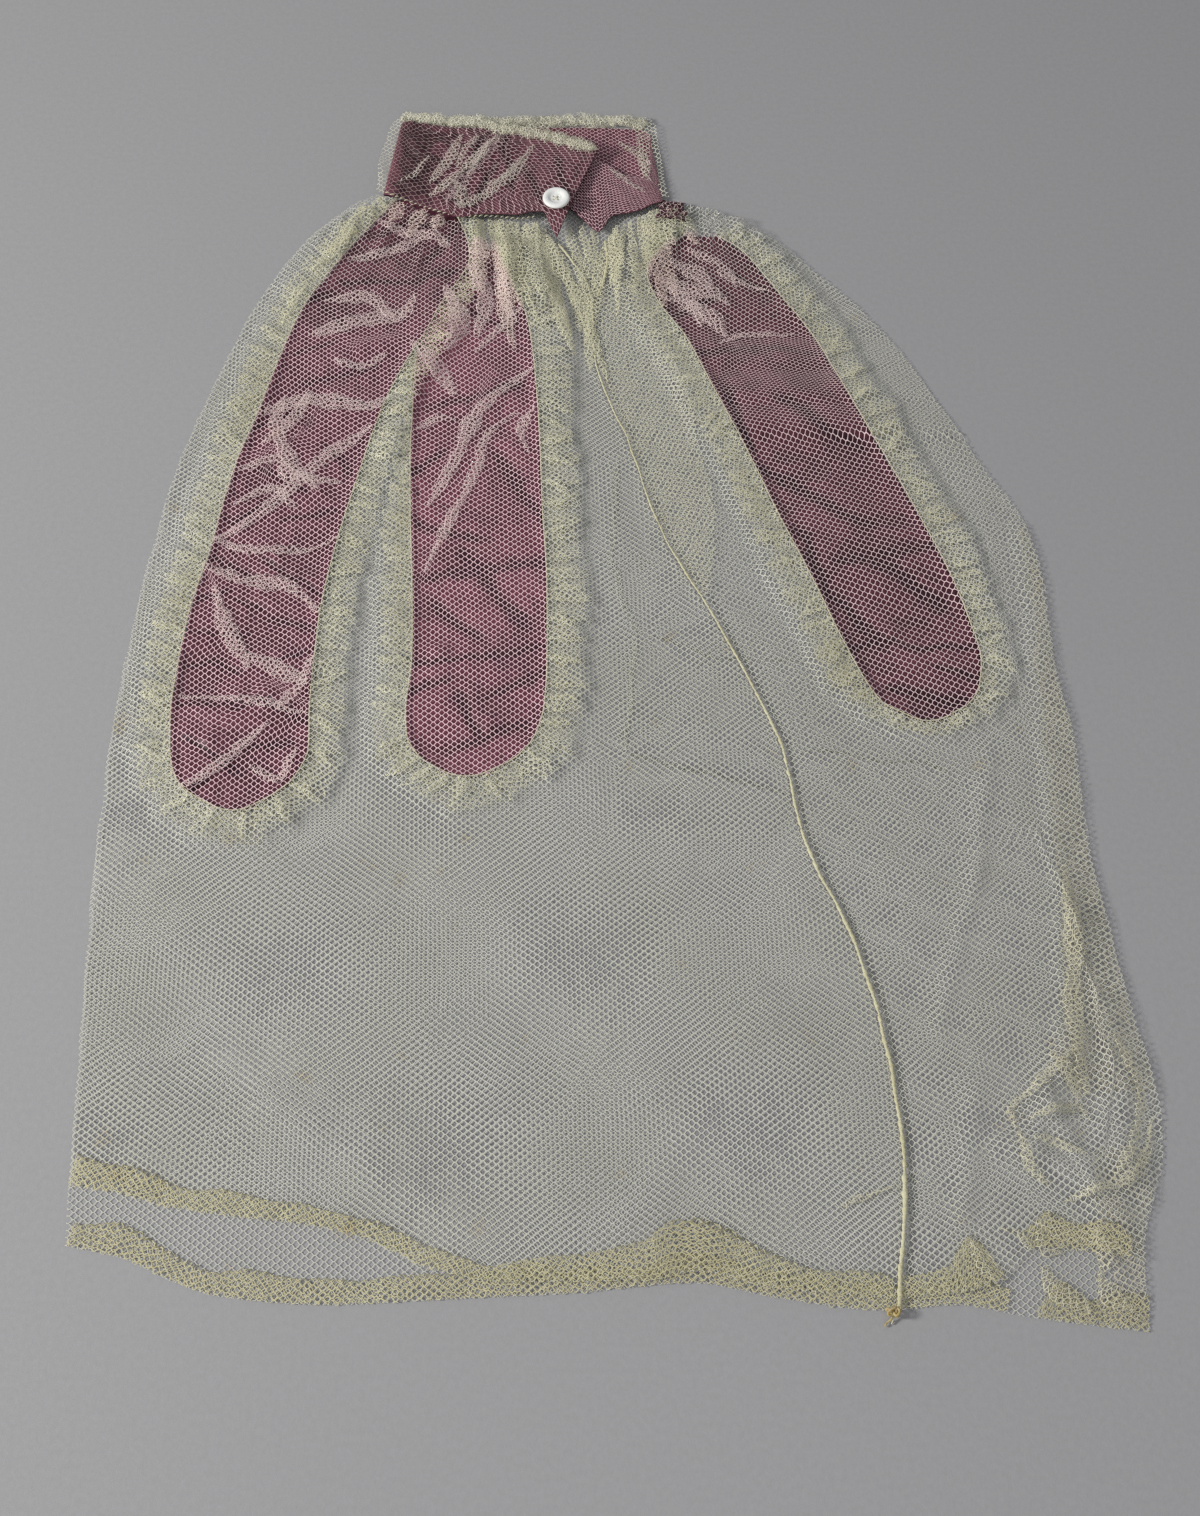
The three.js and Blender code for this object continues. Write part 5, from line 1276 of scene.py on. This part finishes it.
# folds of the collar's silk and of the net drawn over it: x0, y0, x1, y1, depth, width
CREASES_COLLAR = [
    (-99, 291, -79, 286, 1.8, 2.6), (-98, 287, -84, 283, 1.2, 2.4), (-62, 284, -70, 252, .9, 3), (-50, 283, -46, 256, 1.2, 3),
    (-56, 262, -62, 246, .9, 3), (-88, 262, -100, 250, .8, 3), (-96, 274, -84, 268, .8, 2.6), (-40, 262, -34, 246, .7, 3),
    (-96, 262, -90, 252, 1.0, 2.4), (-86, 256, -74, 250, .8, 2.6), (-100, 280, -92, 268, 1.2, 2.6), (-70, 262, -76, 246, .9, 2.6),
    (-24, 266, -20, 248, .6, 3), (-78, 244, -66, 240, .9, 2), (-104, 254, -92, 250, .9, 2), (-88, 282, -94, 266, .7, 3)]
PLEATS_COLLAR = [
    (-64, 289, -79, 234, 6, 3.2), (-50, 286, -70, 242, 6, 3.0), (-83, 284, -104, 248, 4, 3.0), (-40, 280, -54, 244, 4, 2.6),
    (-74, 288, -90, 262, 3, 2.4), (-30, 262, -44, 240, 3, 2.4)]
RIDGES_COLLAR = [(-63, 285, -78, 238, 1.2, 3.5), (-48, 280, -68, 244, 1.1, 3.5), (-82, 280, -103, 252, .8, 3), (-15, 272, -26, 236, .5, 5), (-36, 276, -40, 256, .6, 4)]

mid, kst, sst = resample_band(330, 46)
x, y = mid[..., 0], mid[..., 1]
outer = smooth((11.5 - kst) / 2.0)[:, None]  # 1 on the overlapping front
w = np.linspace(0, 1, 46)[None, :]
cz, cfold = crease_height(x, y, CREASES_COLLAR)
bulge = np.sin(math.pi * w) * (0.9 * outer + 0.25)
crum = waves(sst[:, None] + 0 * w, w * 55 + 0 * sst[:, None], 201, 9, 30, 16, ridged=True) * 0.25
z = mid[..., 2] + outer * (cz * 0.8 + ridge_height(x, y, RIDGES_COLLAR) * 0.8) + bulge + crum * (0.6 + 0.4 * outer)
tip = np.exp(-((x + 24) ** 2 + (y - 222) ** 2) / 220) * outer
z = z - 1.6 * tip
z = np.maximum(z, 0.7)
left_end_shade = smooth((-78 - x) / 22) * outer  # painted shade, darkest at the left end
silk_P = np.stack([x, y, z], -1)
# painted shade in the creases and crumple troughs, heaviest at the left end, and a little over the whole overlap
fold = np.clip(cfold * outer + 0.35 * smooth((-crum / 0.25 - 0.6) / 1.0) + 0.55 * left_end_shade + 0.2 * outer, 0, 1)
# painted shadow: the underlap lies in the overlap's shade
underlap_shade = smooth((kst - 25.5) / 1.0)[:, None] * 0.25
fold = np.clip(fold + underlap_shade * (w > 0.0), 0, 1)
collar_silk = sheet_mesh("collar_silk", silk_P, np.stack([sst[:, None] + 0 * w, w * 55 + 0 * sst[:, None]], -1), SILK, {"fold": fold})
collar_silk.data.materials[0] = SILK_COLLAR
m = collar_silk.modifiers.new("cloth", "SOLIDIFY")
m.thickness, m.offset = 0.0003, 0
piece(collar_silk, "silk", "collar_band")


def offset_surface(P, d):
    a = np.gradient(P, axis=0)
    b = np.gradient(P, axis=1)
    n = np.cross(a, b)
    n /= np.maximum(np.linalg.norm(n, axis=-1), 1e-9)[..., None]
    return P + n * d, n


_, nrm = offset_surface(silk_P, 1.0)
up = np.sign(nrm[5, 20, 2])
collar_top = Ground()
collar_top.add(silk_P[kst < 13.0])
collar_top = collar_top.reader(1, 1)
# net drawn over the outside, from the overlap's end round the left fold
ko = kst < 14.6
Po, No = silk_P[ko], nrm[ko] * up
fx, fy, fz = fold_over(Po[..., 0], Po[..., 1], PLEATS_COLLAR, smooth(np.minimum(w, 1 - w) * 9) * (smooth((kst[ko] - 0.2) / 1.2) * smooth((9.8 - kst[ko]) / 2.2))[:, None])
out_net = Po + No * 0.5
flatness = np.clip(No[..., 2], 0, 1)
out_net[..., 0] += fx * flatness
out_net[..., 1] += fy * flatness
over_silk = collar_top(out_net[..., 0], out_net[..., 1])
front_part = smooth((12.0 - kst[ko]) / 1.5)[:, None]
out_net[..., 2] = np.maximum(out_net[..., 2], over_silk * front_part + 0.45) + fz * flatness * 1.0 + 0.1
s_ = sst[ko][:, None] + 0 * w
t_ = w * 55 + 0 * s_
rot = math.radians(6)
UVo = np.stack([s_ * math.cos(rot) - t_ * math.sin(rot), s_ * math.sin(rot) + t_ * math.cos(rot)], -1)
# painted pink light from the silk below, less towards the left end, and painted shade in the threads, growing towards
# the left end
collar_net = sheet_mesh("collar_net_outside", out_net, UVo, NET_COLLAR, {"silk_bounce": 0.5 - 0.3 * smooth((-76 - out_net[..., 0]) / 20), "deep": 0.15 + 0.85 * smooth((-70 - out_net[..., 0]) / 22)})
piece(collar_net, "net")
# net over the inside of the back and over the underlap
ki = kst > 13.6
Pi = silk_P[ki].copy()
Ni = nrm[ki] * up
side_up = np.where(Ni[..., 2:3] < 0, -1.0, 1.0)
# past the right fold the band's outside is up again
inn_net = Pi.copy()
inn_net[..., 2] += 0.55
s_ = sst[ki][:, None] + 0 * w
t_ = w * 55 + 0 * s_
rot = math.radians(-3)
UVi = np.stack([s_ * math.cos(rot) - t_ * math.sin(rot), s_ * math.sin(rot) + t_ * math.cos(rot)], -1)
# painted pink light from the silk below
collar_net_in = sheet_mesh("collar_net_inside", inn_net, UVi, NET_COLLAR, {"silk_bounce": 0.9 + 0 * inn_net[..., 0], "deep": -0.7 * smooth((kst[ki] - 25.0) / 1.0)[:, None] + 0 * inn_net[..., 0]})
piece(collar_net_in, "net")
# bands where the net over the collar is folded on itself
collar_high = Ground()
collar_high.add(out_net[kst[ko] < 13.0])
collar_high.add(inn_net)
collar_high = collar_high.reader(1, 1)
FOLDS_COLLAR = [
    ([(-53.6, 284.4), (-66.5, 266.0), (-79.4, 250.8), (-86.9, 244.8)], 6.5), ([(-36.5, 278.2), (-46.3, 258.4), (-61.4, 243.3), (-72.5, 236.7)], 6.3),
    ([(-72.8, 286.5), (-76.8, 270.5), (-87.2, 252.3)], 5.4), ([(-76.1, 252.3), (-71.3, 244.4), (-73.4, 237.5)], 5.4),
    ([(-103.0, 254.3), (-95.3, 258.4), (-88.0, 270.5)], 2.7), ([(-58.0, 281.3), (-62.2, 270.5), (-68.4, 255.3)], 3.6),
    ([(5.1, 287.0), (16.7, 276.2), (20.9, 257.3)], 4.5), ([(0.8, 266.0), (9.4, 257.3), (18.4, 249.8)], 2.7),
    ([(-64, 284), (-70, 274), (-74, 262)], 4.0), ([(-42, 268), (-50, 256), (-60, 250)], 3.0)]
folds_co = fold_piece("net_folds_on_collar", FOLDS_COLLAR, 1001, NET_FOLD_COLLAR, collar_high, high=0.55, silk_bounce=0.0)


# ruched frill along the top, a puff of gathered net
def ruche(name, path, radius, seed, full=1.7, layers=3):
    path = np.asarray(path, float)
    seg = np.concatenate([[0], np.cumsum(np.linalg.norm(np.diff(path, axis=0), axis=1))])
    n = int(seg[-1] / 0.55)
    s = np.linspace(0, seg[-1], n)
    c = np.column_stack([np.interp(s, seg, path[:, k]) for k in range(3)])
    for _ in range(12):
        q = c.copy()
        q[1:-1] = (c[:-2] + 2 * c[1:-1] + c[2:]) / 4
        c = q
    t = np.gradient(c, axis=0)
    t /= np.linalg.norm(t, axis=1)[:, None]
    side = np.cross([0, 0, 1.0], t)
    side /= np.maximum(np.linalg.norm(side, axis=1), 1e-6)[:, None]
    up_ = np.cross(t, side)
    objs = []
    r_s = np.interp(s, seg, radius) if hasattr(radius, "__len__") else np.full(n, radius)
    for j in range(layers):
        m = 18
        a = np.linspace(0, 2 * math.pi, m, endpoint=False)[None, :]
        ripple = waves(s[:, None] + 0 * a, 4 * np.cos(a) + 0 * s[:, None], seed + j, 3.0, 9.0, 16)
        lump = waves(s[:, None] + 0 * a, 7 * np.sin(a) + 0 * s[:, None], seed + 10 + j, 7, 24, 10)
        r = r_s[:, None] * (1.0 - 0.24 * j + 0.36 * ripple + 0.30 * lump)
        r = np.maximum(r, 0.35) * (0.06 + 0.94 * smooth(np.minimum(s, s[-1] - s) / 3.0))[:, None]
        P = c[:, None] + (r * np.cos(a) * 1.05)[..., None] * side[:, None] + (r * np.sin(a) * 0.72)[..., None] * up_[:, None]
        P = P + (0.6 * waves(s[:, None] + 0 * a, a * 3 + 0 * s[:, None], seed + 20 + j, 2.5, 7, 12))[..., None] * t[:, None]
        P[..., 2] = np.maximum(P[..., 2], 0.2 + 0.1 * j)
        UV = np.stack([a * r_s.mean() * 1.3 + 5.0 * j + 0 * s[:, None], full * s[:, None] + 3.0 * j + 0 * a], -1)
        objs.append(sheet_mesh(name + str(j), P, UV, NET_RUCHE, wrap=True))
    o = join(objs, name)
    return o, s[-1]


top_front = [(-4.9, 275.4, 8.2), (-16.8, 279.6, 8.4), (-27.8, 284.6, 8.2), (-39.3, 287.2, 8.0), (-52.3, 290.2, 7.9), (-63, 294.4, 7.6), (-73, 295.4, 7.4),
             (-83.5, 296.6, 7.0), (-93.6, 299.2, 6.4), (-99.6, 300.6, 5.4), (-103, 301, 4.0), (-101.5, 301, 2.8), (-97, 301, 2.2)]
top_back = [(-97, 300.0, 2.4), (-80, 300.0, 2.4), (-60, 300.2, 2.5), (-42, 299.8, 2.7), (-28, 300.6, 2.9), (-12, 300.8, 2.9), (4, 300.2, 2.8), (14, 299.8, 2.7), (20.5, 298.6, 2.7)]
ru1, len1 = ruche("collar_ruche_front", top_front, [2.5, 3.3, 3.2, 3.2, 3.1, 3.0, 2.9, 2.9, 2.8, 2.6, 2.4, 2.2, 2.0], 211)
ru2, len2 = ruche("collar_ruche_back", top_back, 3.1, 221)
piece(ru1, "net_frill", "collar_frill")
piece(ru2, "net_frill")

# loose net standing past the collar's two folds
def haze(name, rows, seed, mat):
    """A narrow free edge of net beside a fold: x, y inside, x, y outside, height."""
    R = np.array(rows, float)
    k = np.linspace(0, len(R) - 1, 110)
    cols = [Line(list(enumerate(R[:, c])), 1)(k) for c in range(5)]
    u = np.linspace(0, 1, 14)[None, :]
    X = cols[0][:, None] + u * (cols[2] - cols[0])[:, None] + 0.5 * waves(k[:, None] * 8 + 0 * u, u * 9 + 0 * k[:, None], seed, 6, 20)
    Y = cols[1][:, None] + u * (cols[3] - cols[1])[:, None]
    Z = cols[4][:, None] + 0.5 * waves(k[:, None] * 9 + 0 * u, u * 9 + 0 * k[:, None], seed + 1, 6, 20) + 0 * u
    P = np.stack([X, Y, np.maximum(Z, 0.5)], -1)
    o = sheet_mesh(name, P, np.stack([X + Y * 0.1, Y - X * 0.1], -1), mat)
    piece(o, "net")
    return o, P


hz1 = haze("collar_net_left_edge", [(-100, 303, -104, 305, 3.0), (-101, 292, -108.5, 296, 3.4), (-103.5, 276, -112, 282, 3.6), (-106, 262, -114, 268, 3.6), (-107, 250, -114, 252, 3.4)], 231, NET_RUCHE)
hz2 = haze("collar_net_right_edge", [(12, 301, 20.5, 304.5, 2.0), (14, 292, 24.2, 297, 2.4), (15.5, 278, 26.2, 281, 2.8), (17, 262, 28.6, 262, 3.0), (20, 249, 30.5, 248.5, 3.2)], 241, NET_RUCHE)


# the top of the right tab's silk, crumpled up beside the collar's fold
sx_, sy_ = np.meshgrid(np.linspace(0, 1, 30), np.linspace(0, 1, 26))
scrap_x = 24.5 + 13.5 * sx_ + 1.0 * waves(sx_ * 13, sy_ * 15, 331, 5, 12, 8)
scrap_y = 247.5 - 3.0 * sx_ - 13.5 * sy_ + 1.0 * waves(sx_ * 13, sy_ * 15, 332, 5, 12, 8)
scrap_crumple = waves(scrap_x, scrap_y, 333, 3.5, 9, 12, ridged=True)
scrap_P = np.stack([scrap_x, scrap_y, over(scrap_x, scrap_y) + 0.9 + 0.9 * (scrap_crumple + 0.6)], -1)
# painted shade in the troughs of the crumples
scrap = sheet_mesh("silk_tab_right_top", scrap_P, np.stack([scrap_x, scrap_y], -1), SILK_SHADED, {"fold": np.clip(0.35 - 0.6 * scrap_crumple, 0, 1)})
m = scrap.modifiers.new("cloth", "SOLIDIFY")
m.thickness, m.offset = 0.00028, 0
piece(scrap, "silk")
scrap_net_P = scrap_P + np.array([0, 0, 0.8])
# painted pink light from the silk below
scrap_net = sheet_mesh("net_over_right_tab_top", scrap_net_P, np.stack([scrap_x, scrap_y], -1), NET_COLLAR, {"silk_bounce": 0.3 + 0 * scrap_x})
piece(scrap_net, "net_doubled")


# ======================================================================== button
def button_mesh(cx, cy, z0):
    R, H = 6.65, 3.2
    nr, na = 64, 96
    rr = np.linspace(0, 1, nr) ** 0.85
    a = np.linspace(0, 2 * math.pi, na, endpoint=False)
    prof_r = [0, .30, .42, .52, .62, .74, .86, .94, .985, 1.0]
    prof_z = [.66, .67, .70, .82, .93, .985, .97, .90, .78, .62]
    z = np.interp(rr, prof_r, prof_z)
    for _ in range(3):
        z[1:-1] = (z[:-2] + 2 * z[1:-1] + z[2:]) / 4
    X = rr[:, None] * R * np.cos(a)
    Y = rr[:, None] * R * np.sin(a)
    Z = np.repeat((z * H)[:, None], na, 1)
    for hx, hy in ((1, 1), (1, -1), (-1, 1), (-1, -1)):
        d = np.hypot(X - hx * 1.0, Y - hy * 1.0)
        Z -= 0.85 * (1 - smooth((d - 0.30) / 0.42))
    V = [np.stack([X, Y, Z], -1)]
    low_r = np.array([0.985, 0.86, 0.55, 0.0])
    low_z = np.array([0.5, 0.28, 0.06, 0.0])
    V.append(np.stack([low_r[:, None] * R * np.cos(a), low_r[:, None] * R * np.sin(a), np.repeat((low_z * H)[:, None], na, 1)], -1))
    P = np.concatenate(V)[1:-1]  # rings between the two centres
    r = len(P)
    verts = np.concatenate([P.reshape(-1, 3), [[0, 0, Z[0, 0]], [0, 0, 0]]])
    polys = grid_faces(r, na, True)[:, ::-1].tolist()
    k = np.arange(na)
    top, bot = r * na, r * na + 1
    polys += [[top, int(i), int((i + 1) % na)] for i in k]
    base = (r - 1) * na
    polys += [[bot, int(base + (i + 1) % na), int(base + i)] for i in k]
    verts = verts + np.array([cx, cy, z0])
    mesh = bpy.data.meshes.new("button")
    mesh.from_pydata(to_metres(verts).tolist(), [], polys)
    mesh.polygons.foreach_set("use_smooth", np.ones(len(mesh.polygons), bool))
    mesh.materials.append(CHINA)
    o = bpy.data.objects.new("shirt_button", mesh)
    bpy.context.scene.collection.objects.link(o)
    return o


BX, BY = -25.0, 239.8
bz = float(np.max(silk_P[(np.hypot(silk_P[..., 0] - BX, silk_P[..., 1] - BY) < 7) & (kst < 8)[:, None]][:, 2])) + 0.7
btn = button_mesh(BX, BY, bz)
piece(btn, "china", "collar_button")
t = np.linspace(0, 1, 24)
st = []
for i, ((ax, ay), (bx_, by_)) in enumerate([((-1, -1), (1, 1)), ((-1, 1), (1, -1))]):
    p = np.stack([BX + ax + (bx_ - ax) * t, BY + ay + (by_ - ay) * t, bz + 1.75 + 0.55 * np.sin(math.pi * t) + 0.12 * i], -1)
    st.append(tube_mesh("st%d" % i, p, 0.2, COTTON, 6))
piece(join(st, "button_thread"), "thread")


# stitches of the neck seam
def stitches(name, path, pitch, length, radius, seed, mat, tilt=0.5):
    rng = np.random.default_rng(seed)
    path = np.asarray(path, float)
    seg = np.concatenate([[0], np.cumsum(np.linalg.norm(np.diff(path, axis=0), axis=1))])
    objs = []
    V, F = [], []
    k = 0
    for s in np.arange(pitch / 2, seg[-1], pitch):
        c = np.array([np.interp(s, seg, path[:, j]) for j in range(3)])
        c2 = np.array([np.interp(min(s + 0.5, seg[-1]), seg, path[:, j]) for j in range(3)])
        d = (c2 - c) / max(np.linalg.norm(c2 - c), 1e-6)
        side = np.array([-d[1], d[0], 0])
        dirn = d * math.cos(tilt) + side * math.sin(tilt)
        dirn = dirn / np.linalg.norm(dirn)
        up_ = np.array([0, 0, 1.0])
        cr = np.cross(up_, dirn)
        L = length * rng.uniform(0.8, 1.2)
        tt = np.linspace(-0.5, 0.5, 6)
        cen = c + dirn * (tt * L)[:, None] + up_ * (0.35 * np.cos(math.pi * tt))[:, None]
        for i in range(6):
            rad = radius * (1 - 0.75 * (abs(tt[i]) * 2) ** 4)
            for w_ in range(5):
                an = 2 * math.pi * w_ / 5
                V.append(cen[i] + rad * (math.cos(an) * cr + math.sin(an) * up_))
        for i in range(5):
            for w_ in range(5):
                F.append([k + i * 5 + w_, k + i * 5 + (w_ + 1) % 5, k + (i + 1) * 5 + (w_ + 1) % 5, k + (i + 1) * 5 + w_])
        k += 30
    o = make_mesh(name, to_metres(np.array(V)), F, [mat])
    piece(o, "thread")
    return o


neck_xy = [(-109, 248.6), (-100, 244.4), (-92, 241.0), (-82, 236.2), (-72, 232.8), (-62, 233.6), (-53, 234.2), (-43, 233.2), (-34, 235.4)]
path = [(px_, py_, float(over(np.array([px_]), np.array([py_ - 2]))[0]) + 1.2) for px_, py_ in neck_xy]
stitches("neck_stitches", path, 2.6, 2.2, 0.3, 251, COTTON)

# ======================================================================== flat sizes of each sheet, worked out and left unused
def declare(w_, h_):
    """A sheet's flat width and height in metres, each raised to at least 10.2 mm; nothing is done with them."""
    w_, h_ = max(w_, 0.0102), max(h_, 0.0102)


declare(0.40, 0.545)
declare(0.33, 0.54)
declare(0.22, 0.53)
declare(0.022, 0.27)
declare(0.034, 0.20)
declare(folds_co[2] / 1000, folds_co[1] * 1.02e-6 / (folds_co[2] / 1000))
for o, A, L in (folds_tl, folds_tm, folds_tr, folds_lr, folds_nk):
    declare(L / 1000, A * 1.02e-6 / (L / 1000))
declare(0.022, 0.07)
declare(0.016, 0.018)
declare(0.017, 0.019)
for key, (w_, h_) in {"left": (0.066, 0.33), "middle": (0.064, 0.295), "right": (0.066, 0.30)}.items():
    declare(w_, h_)
for key in ("left", "middle", "right"):
    (o2, Q2, L2), (o, Q, L1) = frills[key][0]
    declare(L1 / 1000, 0.0155)
    declare(L2 / 1000, 0.0155)
    o4, A4, L4 = frills[key][2]
    declare(L4 / 1000, A4 * 1.02e-6 / (L4 / 1000))
for o, Q, L, D in (hem_back, hem_back_end, hem_l, hem_r, hem_r2):
    W = max(D * 0.001, surface_area(Q) * 1.02e-6 / (L * 0.001))
    declare(L / 1000, W)
declare(0.33, 0.062)
declare(0.165, 0.062)
declare(0.185, 0.062)
for o, P in (hz1, hz2):
    declare(0.016, 0.062)
for o, L in ((ru1, len1), (ru2, len2)):
    A = sum(p.area for p in o.data.polygons) * 1e6 / 2
    declare(L * 1.7 / 1000, A * 1.02e-6 / (L * 1.7e-3))

# ======================================================================== floor, light, camera
floor_v = [(-2.2, -1.8, 0), (2.2, -1.8, 0), (2.2, 2.4, 0), (-2.2, 2.4, 0)]
floor = make_mesh("floor", floor_v, [[0, 1, 2, 3]], [floor_material()], False)

scene = bpy.context.scene
world = bpy.data.worlds.new("studio")
scene.world = world
world.use_nodes = True
world.node_tree.nodes["Background"].inputs[0].default_value = (0.93, 0.95, 1.0, 1)
world.node_tree.nodes["Background"].inputs[1].default_value = 0.295


def area_light(name, loc, aim, size, power, colour=(1, 1, 1)):
    d = bpy.data.lights.new(name, "AREA")
    d.shape, d.size, d.energy, d.color = "SQUARE", size, power, colour
    o = bpy.data.objects.new(name, d)
    o.location = loc
    from mathutils import Vector
    o.rotation_euler = (Vector(aim) - Vector(loc)).to_track_quat("-Z", "Y").to_euler()
    scene.collection.objects.link(o)
    return o


area_light("key", (-1.9, -0.35, 1.2), (0, 0.0, 0), 0.44, 43.5, (1.0, 0.985, 0.965))
area_light("fill", (0.15, -1.2, 1.5), (0, -0.1, 0), 1.4, 5.5, (0.97, 0.98, 1.0))

cam_d = bpy.data.cameras.new("camera")
cam_d.lens, cam_d.sensor_width = 50.0, 36.0
cam = bpy.data.objects.new("camera", cam_d)
cam.location = (-0.00414, -0.4970, 0.7707)
cam.rotation_euler = (math.radians(29.3), 0, 0)
cam_d.clip_start, cam_d.clip_end = 0.01, 20
scene.collection.objects.link(cam)
scene.camera = cam

scene.view_settings.view_transform = "Standard"
scene.cycles.filter_width = 1.4
scene.cycles.use_denoising = False
scene.cycles.max_bounces = 6
scene.cycles.diffuse_bounces = 3
scene.cycles.transparent_max_bounces = 24
